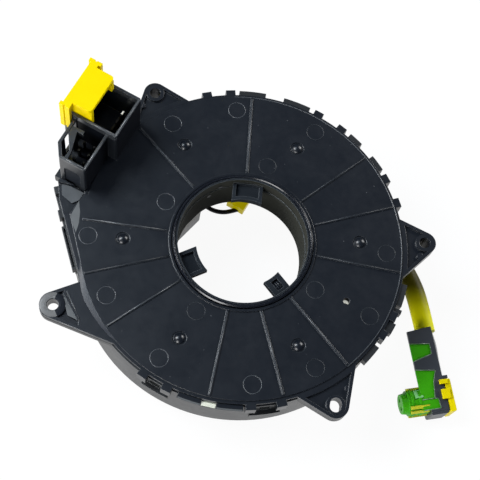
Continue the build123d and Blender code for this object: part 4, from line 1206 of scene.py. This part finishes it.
@dataclass
class PlugLines:
    """Pale lines along the bands of the airbag plug, and the pale green flat on its nose, a painted
    highlight.
    """

    corner: Pair = (58.65, -22.3)
    heading: float = -80.6
    top: float = -4.0
    bead: float = 0.13
    bead_flat: float = 0.5
    # Both ends of each line, along the plug and across it.
    lines: tuple[Pairs, ...] = (
        ((4.25, -0.95), (5.1, 5.75)), ((10.45, -0.95), (8.6, 5.7)), ((13.3, -0.95), (14.35, 5.7)),
        ((5.1, 5.75), (8.6, 5.7)), ((14.4, 5.7), (15.95, 5.0)), ((15.95, 5.0), (18.25, 4.25)),
        ((18.25, 4.25), (23.5, 3.55)), ((23.5, 3.55), (23.7, 4.65)), ((23.7, 4.65), (27.0, 4.85)),
        ((23.5, -0.9), (23.5, 3.55)), ((27.05, -0.9), (27.05, 4.85)),
    )
    nose_station: float = 23.2
    nose_middle: float = -8.45
    flat_radius: float = 4.5
    flat_turns: Pair = (96.0, 140.0)
    flat_across: Pair = (-0.2, -3.0)
    flat_skin: float = 0.12

    def point(self, along: float, across: float, height: float) -> Vector:
        """Point in the plug's own frame.

        Args:
            along: Distance along the plug from its corner, in millimetres.
            across: Distance to the left of that line, in millimetres.
            height: Height, in millimetres.

        Returns:
            The point, in metres.
        """
        turn = math.radians(self.heading)
        x = self.corner[0] + along * math.cos(turn) - across * math.sin(turn)
        y = self.corner[1] + along * math.sin(turn) + across * math.cos(turn)
        return Vector((x, y, height)) * MM

    def build(self, finishes: "Finishes") -> None:
        """Adds the lines and the flat.

        Args:
            finishes: The finishes that dress it.
        """
        shape = bmesh.new()
        for ends in self.lines:
            add_bead(shape, *(self.point(*end, self.top) for end in ends), self.bead, self.bead_flat)
        material = finishes.material("line_pale")
        finish_piece("airbag_plug_lines", shape, material, "rotor", smooth=True)
        # The nose flat's pale green is a painted highlight.
        shape = bmesh.new()
        (first, last), (left, right) = self.flat_turns, self.flat_across
        ring = (self.on_nose(*spot) for spot in ((first, left), (last, left), (last, right), (first, right)))
        add_prism(shape, ring, rise(self.flat_skin))
        finish_piece("airbag_plug_nose_flat", shape, finishes.material("flat_painted_highlight"), "rotor")

    def on_nose(self, angle: float, across: float) -> Vector:
        """Point on the nose.

        Args:
            angle: Its angle round the nose's axis, in degrees.
            across: Its place across the plug, in millimetres.

        Returns:
            The point, in metres.
        """
        turn = math.radians(angle)
        along = self.nose_station + self.flat_radius * math.cos(turn)
        height = self.nose_middle + self.flat_radius * math.sin(turn)
        return self.point(along, across, height)


@dataclass
class BoreMarks:
    """Two small blind marks in the bore's wall, drawn as thin dark discs of painted shade."""

    wall: float = 20.8
    wall_clearance: float = 0.02
    # Angle and height of each mark.
    places: Pairs = ((110.0, 14.5), (120.5, 10.5))
    radius: float = 0.75
    corners: int = 24

    def build(self, finishes: "Finishes") -> None:
        """Adds a thin dark disc at each angle and height.

        Args:
            finishes: The finishes that dress it.
        """
        shape = bmesh.new()
        for angle, height in self.places:
            inward = -outward(angle)
            side = inward.cross(UP)
            centre = polar(self.wall - self.wall_clearance, angle, height)
            turns = (math.tau * corner / self.corners for corner in range(self.corners))
            offsets = (side * math.cos(turn) + UP * math.sin(turn) for turn in turns)
            add_prism(shape, (centre + offset * self.radius * MM for offset in offsets), inward * SKIN * MM)
        finish_piece("bore_marks", shape, finishes.material("panel_painted_shade"), "rotor")


@dataclass
class RimLine:
    """Rounded bead along the outer corner of the cover's raised plate, painted grey as a highlight on its lit
    side only.
    """

    radius: float = 52.0
    first: float = 309.0
    last: float = 453.0
    height: float = 16.9
    bead: float = 0.17
    steps: int = 180

    def build(self, finishes: "Finishes") -> None:
        """Sweeps the bead's round section along its arc.

        Args:
            finishes: The finishes that dress it.
        """
        shape = bmesh.new()
        start = polar(self.radius, self.first, self.height)
        turns = (math.tau * corner / BEAD_CORNERS for corner in range(BEAD_CORNERS))
        offsets = (outward(self.first) * math.cos(turn) + UP * math.sin(turn) for turn in turns)
        section = [shape.verts.new(start + offset * self.bead * MM) for offset in offsets]
        edges = [shape.edges.new(pair) for pair in zip(section, section[1:] + section[:1])]
        bmesh.ops.spin(
            shape, geom=[*section, *edges], cent=(0.0, 0.0, 0.0), axis=UP,
            angle=math.radians(self.last - self.first), steps=self.steps,
        )
        grey = finishes.material("crest_painted_highlight")
        finish_piece("cover_rim_line", shape, grey, "stator", smooth=True)


def thin_moulding(name: str, colour: Colour, roughness: float, **others: float) -> Moulding:
    """Finish of a thin piece, whose edges are too small to round.

    Args:
        name: The finish's name.
        colour: Its colour.
        roughness: Its roughness.
        others: What differs from the other thin finishes.

    Returns:
        The finish.
    """
    shared = {"grain": 0.3, "grain_depth": 0.003, "cloud": 0.4, "edge_radius": 0.01, "edge_lift": 0.0}
    return Moulding(name, colour, roughness, **{**shared, **others})


@dataclass
class Finishes:
    """Every finish, made once, and the piece that each one dresses."""

    made: dict[str, bpy.types.Material] = field(default_factory=dict)
    kinds: tuple[Moulding | TinnedMetal | SoftSkin | RibbonFilm, ...] = (
        Moulding(
            "cover_black", (0.0035, 0.0052, 0.0085), 0.35, grain=0.3, grain_depth=0.004, cloud=0.1, dust=0.25,
            edge_radius=0.2, edge_lift=0.5, edge_colour=(0.05, 0.055, 0.062),
            polish_and_highlight=PolishAndHighlight(level=17.2, roughness_share=0.9, edge_lift=0.15),
        ),
        # Thin finishes: the crest, rim and facet greys, the ear tip's grey and the nose flat's pale green are
        # painted highlights; the dark panel is painted shade.
        thin_moulding("crest_painted_highlight", (0.045, 0.05, 0.056), 0.3),
        thin_moulding("crest_painted_dim_highlight", (0.016, 0.019, 0.023), 0.45, gloss=0.3),
        thin_moulding("rim_painted_highlight", (0.07, 0.075, 0.08), 0.25),
        thin_moulding("facet_painted_dim_highlight", (0.058, 0.063, 0.068), 0.4, grain_depth=0.004, cloud=0.5),
        thin_moulding("facet_painted_highlight", (0.085, 0.09, 0.092), 0.35, grain_depth=0.004, cloud=0.5),
        thin_moulding("panel_painted_shade", (0.006, 0.008, 0.012), 0.5, grain_depth=0.006, cloud=0.2, gloss=0.15),
        thin_moulding("slope_satin", (0.011, 0.014, 0.02), 0.42, grain_depth=0.004, cloud=0.3, gloss=0.3),
        thin_moulding("ear_painted_highlight", (0.105, 0.106, 0.106), 0.5, grain_depth=0.006, cloud=0.5, edge_lift=0.2),
        thin_moulding("shade_black", (0.002, 0.003, 0.0055), 0.6, grain_depth=0.006, cloud=0.2, gloss=0.1),
        thin_moulding("line_pale", (0.10, 0.16, 0.09), 0.35, cloud=0.5),
        thin_moulding("flat_painted_highlight", (0.16, 0.42, 0.14), 0.3, edge_lift=0.2),
        thin_moulding("liner_white", (0.50, 0.53, 0.44), 0.4, grain_depth=0.004, cloud=0.15, edge_lift=0.1),
        Moulding(
            "key_lime", (0.42, 0.44, 0.02), 0.34, grain=0.2, grain_depth=0.003, cloud=0.2, edge_lift=0.3,
            gloss=0.2,
        ),
        # Pins deep in the sockets: tinned metal painted dark as painted shade.
        TinnedMetal("pin_painted_shade", (0.05, 0.048, 0.042), roughness=0.5),
        Moulding(
            "housing_black", (0.010, 0.0112, 0.0125), 0.42, grain=0.4, cloud=0.12, edge_lift=0.6,
            edge_colour=(0.06, 0.065, 0.07),
        ),
        # Its rims and latch above the level get a painted highlight.
        Moulding(
            "connector_black", (0.006, 0.0075, 0.010), 0.34, grain=0.25, grain_depth=0.004, edge_radius=0.2,
            edge_lift=0.8, edge_colour=(0.06, 0.065, 0.07),
            polish_and_highlight=PolishAndHighlight(level=31.0, roughness_share=0.8, edge_lift=0.6, face_lift=0.5),
        ),
        # The bore wall's tone is painted light and shade, and its raised edges get a painted highlight.
        Moulding(
            "hub_olive", (0.014, 0.017, 0.021), 0.75, grain=0.5, grain_depth=0.01, cloud=0.3, edge_lift=0.6,
            gloss=0.03, edge_colour=(0.1, 0.11, 0.12),
            well=Well(radius=20.8, colour=(0.025, 0.026, 0.0215), low=-20.0, high=17.9),
            polish_and_highlight=PolishAndHighlight(level=12.0, roughness_share=0.9, edge_lift=0.8),
        ),
        Moulding(
            "collar_black", (0.003, 0.004, 0.007), 0.22, grain=0.3, grain_depth=0.003, edge_lift=0.9,
            edge_colour=(0.06, 0.065, 0.07),
        ),
        Moulding(
            "lock_yellow", (0.70, 0.53, 0.0), 0.36, grain=0.25, grain_depth=0.003, cloud=0.06, edge_lift=0.2,
            gloss=0.08,
        ),
        # Glows faintly as painted light, so that it shows bright through the windows and the hole.
        Moulding(
            "carrier_white", (0.78, 0.80, 0.74), 0.42, grain=0.3, cloud=0.05, edge_lift=0.1, painted_glow=0.5,
        ),
        Moulding("roller_grey", (0.5, 0.51, 0.5), 0.38, grain=0.3, cloud=0.08, edge_lift=0.1),
        Moulding("cap_pale", (0.13, 0.13, 0.11), 0.45, grain=0.3, cloud=0.1, edge_lift=0.1),
        Moulding(
            "plug_green", (0.034, 0.275, 0.003), 0.34, grain=0.2, grain_depth=0.004, cloud=0.2, edge_lift=0.6,
            edge_colour=(0.09, 0.36, 0.05), gloss=0.12,
        ),
        Moulding(
            "plug_black", (0.024, 0.028, 0.034), 0.4, grain=0.2, grain_depth=0.006, cloud=0.2, edge_lift=0.6,
            edge_colour=(0.07, 0.08, 0.08),
        ),
        Moulding(
            "key_yellow", (0.60, 0.49, 0.0), 0.34, grain=0.2, grain_depth=0.003, cloud=0.1, edge_lift=0.2,
            gloss=0.1,
        ),
        # Glows faintly as painted light, on a connector that lies in shade under the hub.
        Moulding(
            "horn_yellow", (0.60, 0.49, 0.0), 0.34, grain=0.2, grain_depth=0.003, cloud=0.1, edge_lift=0.2,
            gloss=0.1, painted_glow=0.45,
        ),
        TinnedMetal("terminal_tin", (0.5, 0.48, 0.42)),
        # The sleeve darkens where the ear and cover shade it: painted shade.
        SoftSkin(
            "sleeve_yellow", (0.70, 0.66, 0.0), (0.80, 0.76, 0.0), 0.45, crease=1.4, crease_depth=0.03,
            gloss=0.1, painted_shade=(-16.0, -2.0, (0.05, 0.043, 0.0)),
        ),
        SoftSkin(
            "lead_black", (0.012, 0.011, 0.012), (0.02, 0.018, 0.02), 0.5, crease=0.5, crease_depth=0.01,
        ),
        SoftSkin("wire_grey", (0.42, 0.42, 0.41), (0.3, 0.3, 0.3), 0.45, crease=0.4, crease_depth=0.008),
        RibbonFilm("ribbon_amber", film=(0.5, 0.2, 0.03), copper=(0.8, 0.4, 0.2), line_pitch=1.3),
    )
    pieces: dict[str, tuple[str, ...]] = field(default_factory=lambda: {
        "cover_black": ("column_cover",),
        "housing_black": ("stator_housing", "wheel_header"),
        "connector_black": ("column_connector", "stator_lead_block"),
        "hub_olive": ("rotor_hub",),
        "collar_black": ("rotor_collar",),
        "lock_yellow": ("connector_lock",),
        "carrier_white": ("roller_carrier",),
        "roller_grey": tuple(f"roller_{number}" for number in range(1, 7)),
        "cap_pale": ("rotor_lead_cap",),
        "plug_green": ("airbag_plug_body",),
        "plug_black": ("airbag_plug_cover", "rotor_lead_block"),
        "key_yellow": ("airbag_plug_lock",),
        "horn_yellow": ("horn_connector",),
        "key_lime": ("airbag_plug_keys",),
        "terminal_tin": ("wheel_header_pins", "airbag_plug_contacts"),
        "pin_painted_shade": ("airbag_terminals", "switch_terminals"),
        "wire_grey": ("airbag_wires",),
        "ribbon_amber": ("ribbon_cable",),
    })

    def material(self, name: str) -> bpy.types.Material:
        """Finds a finish, and makes its material when it is first asked for.

        Args:
            name: The finish's name.

        Returns:
            The material.
        """
        if name not in self.made:
            kind = next(kind for kind in self.kinds if kind.name == name)
            self.made[name] = kind.make()
        return self.made[name]

    def dress(self) -> None:
        """Gives every carried-over piece its finish."""
        for name, nodes in self.pieces.items():
            for node in nodes:
                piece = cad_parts[node]
                piece.data.materials.clear()
                piece.data.materials.append(self.material(name))
                log.info("dressed %s in %s", node, name)


@dataclass
class Studio:
    """Camera at the photograph's angle, the lamps, the dim room and its white backdrop."""

    face: float = 17.0
    # The camera's place in millimetres, its height taken from the cover's face, and its own axes.
    camera_place: Point = (-34.6, -127.1, 332.8)
    right: Point = (0.9949, 0.0, 0.1008)
    back: Point = (-0.0942, -0.3560, 0.9297)
    lens: float = 83.6
    room: Colour = (0.075, 0.092, 0.125)
    # Each lamp's name, place, side, power and colour.
    lamps: tuple[tuple[str, Point, float, float, Colour], ...] = (
        ("key_lamp", (-0.95, 0.25, 0.8), 0.6, 16.0, (1.0, 1.0, 1.0)),
        ("right_lamp", (0.95, 0.65, 0.45), 0.6, 12.0, (1.0, 1.0, 1.0)),
        ("front_lamp", (-0.55, -0.95, 0.32), 0.6, 12.5, (1.0, 1.0, 1.0)),
        ("under_lamp", (0.3, -0.5, -0.95), 0.6, 12.0, (1.0, 1.0, 1.0)),
        ("sheen_lamp", (-0.6, 0.30, 1.0), 0.4, 7.0, (0.75, 0.88, 1.0)),
    )

    def camera(self) -> None:
        """Sets the camera by the way it looks back and to its right."""
        back = Vector(self.back).normalized()
        right = Vector(self.right)
        right = (right - back * right.dot(back)).normalized()
        up = back.cross(right)
        turn = Matrix((right, up, back)).transposed().to_4x4()
        data = bpy.data.cameras.new("camera")
        data.lens = self.lens
        data.sensor_width = 36.0
        data.clip_start = 0.01
        data.clip_end = 10.0
        made = bpy.data.objects.new("camera", data)
        x, y, z = self.camera_place
        made.matrix_world = Matrix.Translation(Vector((x, y, z + self.face)) * MM) @ turn
        bpy.context.scene.collection.objects.link(made)
        bpy.context.scene.camera = made

    def lamp(self, name: str, place: Point, size: float, power: float, colour: Colour) -> None:
        """Hangs one soft square lamp that points at the part.

        Args:
            name: The lamp's name.
            place: Its place, in metres.
            size: Its side, in metres.
            power: Its power, in watts.
            colour: Its colour.
        """
        data = bpy.data.lights.new(name, "AREA")
        data.shape = "SQUARE"
        data.size = size
        data.energy = power
        data.color = colour
        made = bpy.data.objects.new(name, data)
        made.location = place
        made.rotation_euler = Vector(place).to_track_quat("Z", "Y").to_euler()
        bpy.context.scene.collection.objects.link(made)

    def build(self) -> None:
        """Sets the camera, hangs the lamps and lights the room."""
        self.camera()
        for lamp in self.lamps:
            self.lamp(*lamp)
        self.light_room()
        scene = bpy.context.scene
        scene.view_settings.view_transform = "Standard"
        log.info("studio set")

    def light_room(self) -> None:
        """Fills the room with dim light, and shows the camera a white backdrop."""
        world = bpy.data.worlds.new("room")
        world.use_nodes = True
        nodes, links = world.node_tree.nodes, world.node_tree.links
        sky = next(n for n in nodes if n.type == "BACKGROUND")
        sky.inputs["Color"].default_value = (*self.room, 1.0)
        sky.inputs["Strength"].default_value = 1.0
        backdrop = nodes.new("ShaderNodeBackground")
        backdrop.inputs["Color"].default_value = (1.0, 1.0, 1.0, 1.0)
        seen = nodes.new("ShaderNodeLightPath")
        mix = nodes.new("ShaderNodeMixShader")
        links.new(seen.outputs["Is Camera Ray"], mix.inputs[0])
        links.new(sky.outputs[0], mix.inputs[1])
        links.new(backdrop.outputs[0], mix.inputs[2])
        output = next(n for n in nodes if n.type == "OUTPUT_WORLD")
        links.new(mix.outputs[0], output.inputs["Surface"])
        bpy.context.scene.world = world


def main() -> None:
    """Builds the scene in order."""
    logging.basicConfig(level=logging.INFO, format="%(name)s: %(message)s")
    Studio().build()
    finishes = Finishes()
    assemblies = (
        Cords(), CoverMarks(), RibCrests(), LeftEar(), SocketTrim(), ShoulderFacets(), RimDetail(),
        LugLatch(), PlugLines(), BoreMarks(), RimLine(),
    )
    for assembly in assemblies:
        assembly.build(finishes)
    finishes.dress()
    Table().build()


if __name__ == "__main__":
    main()
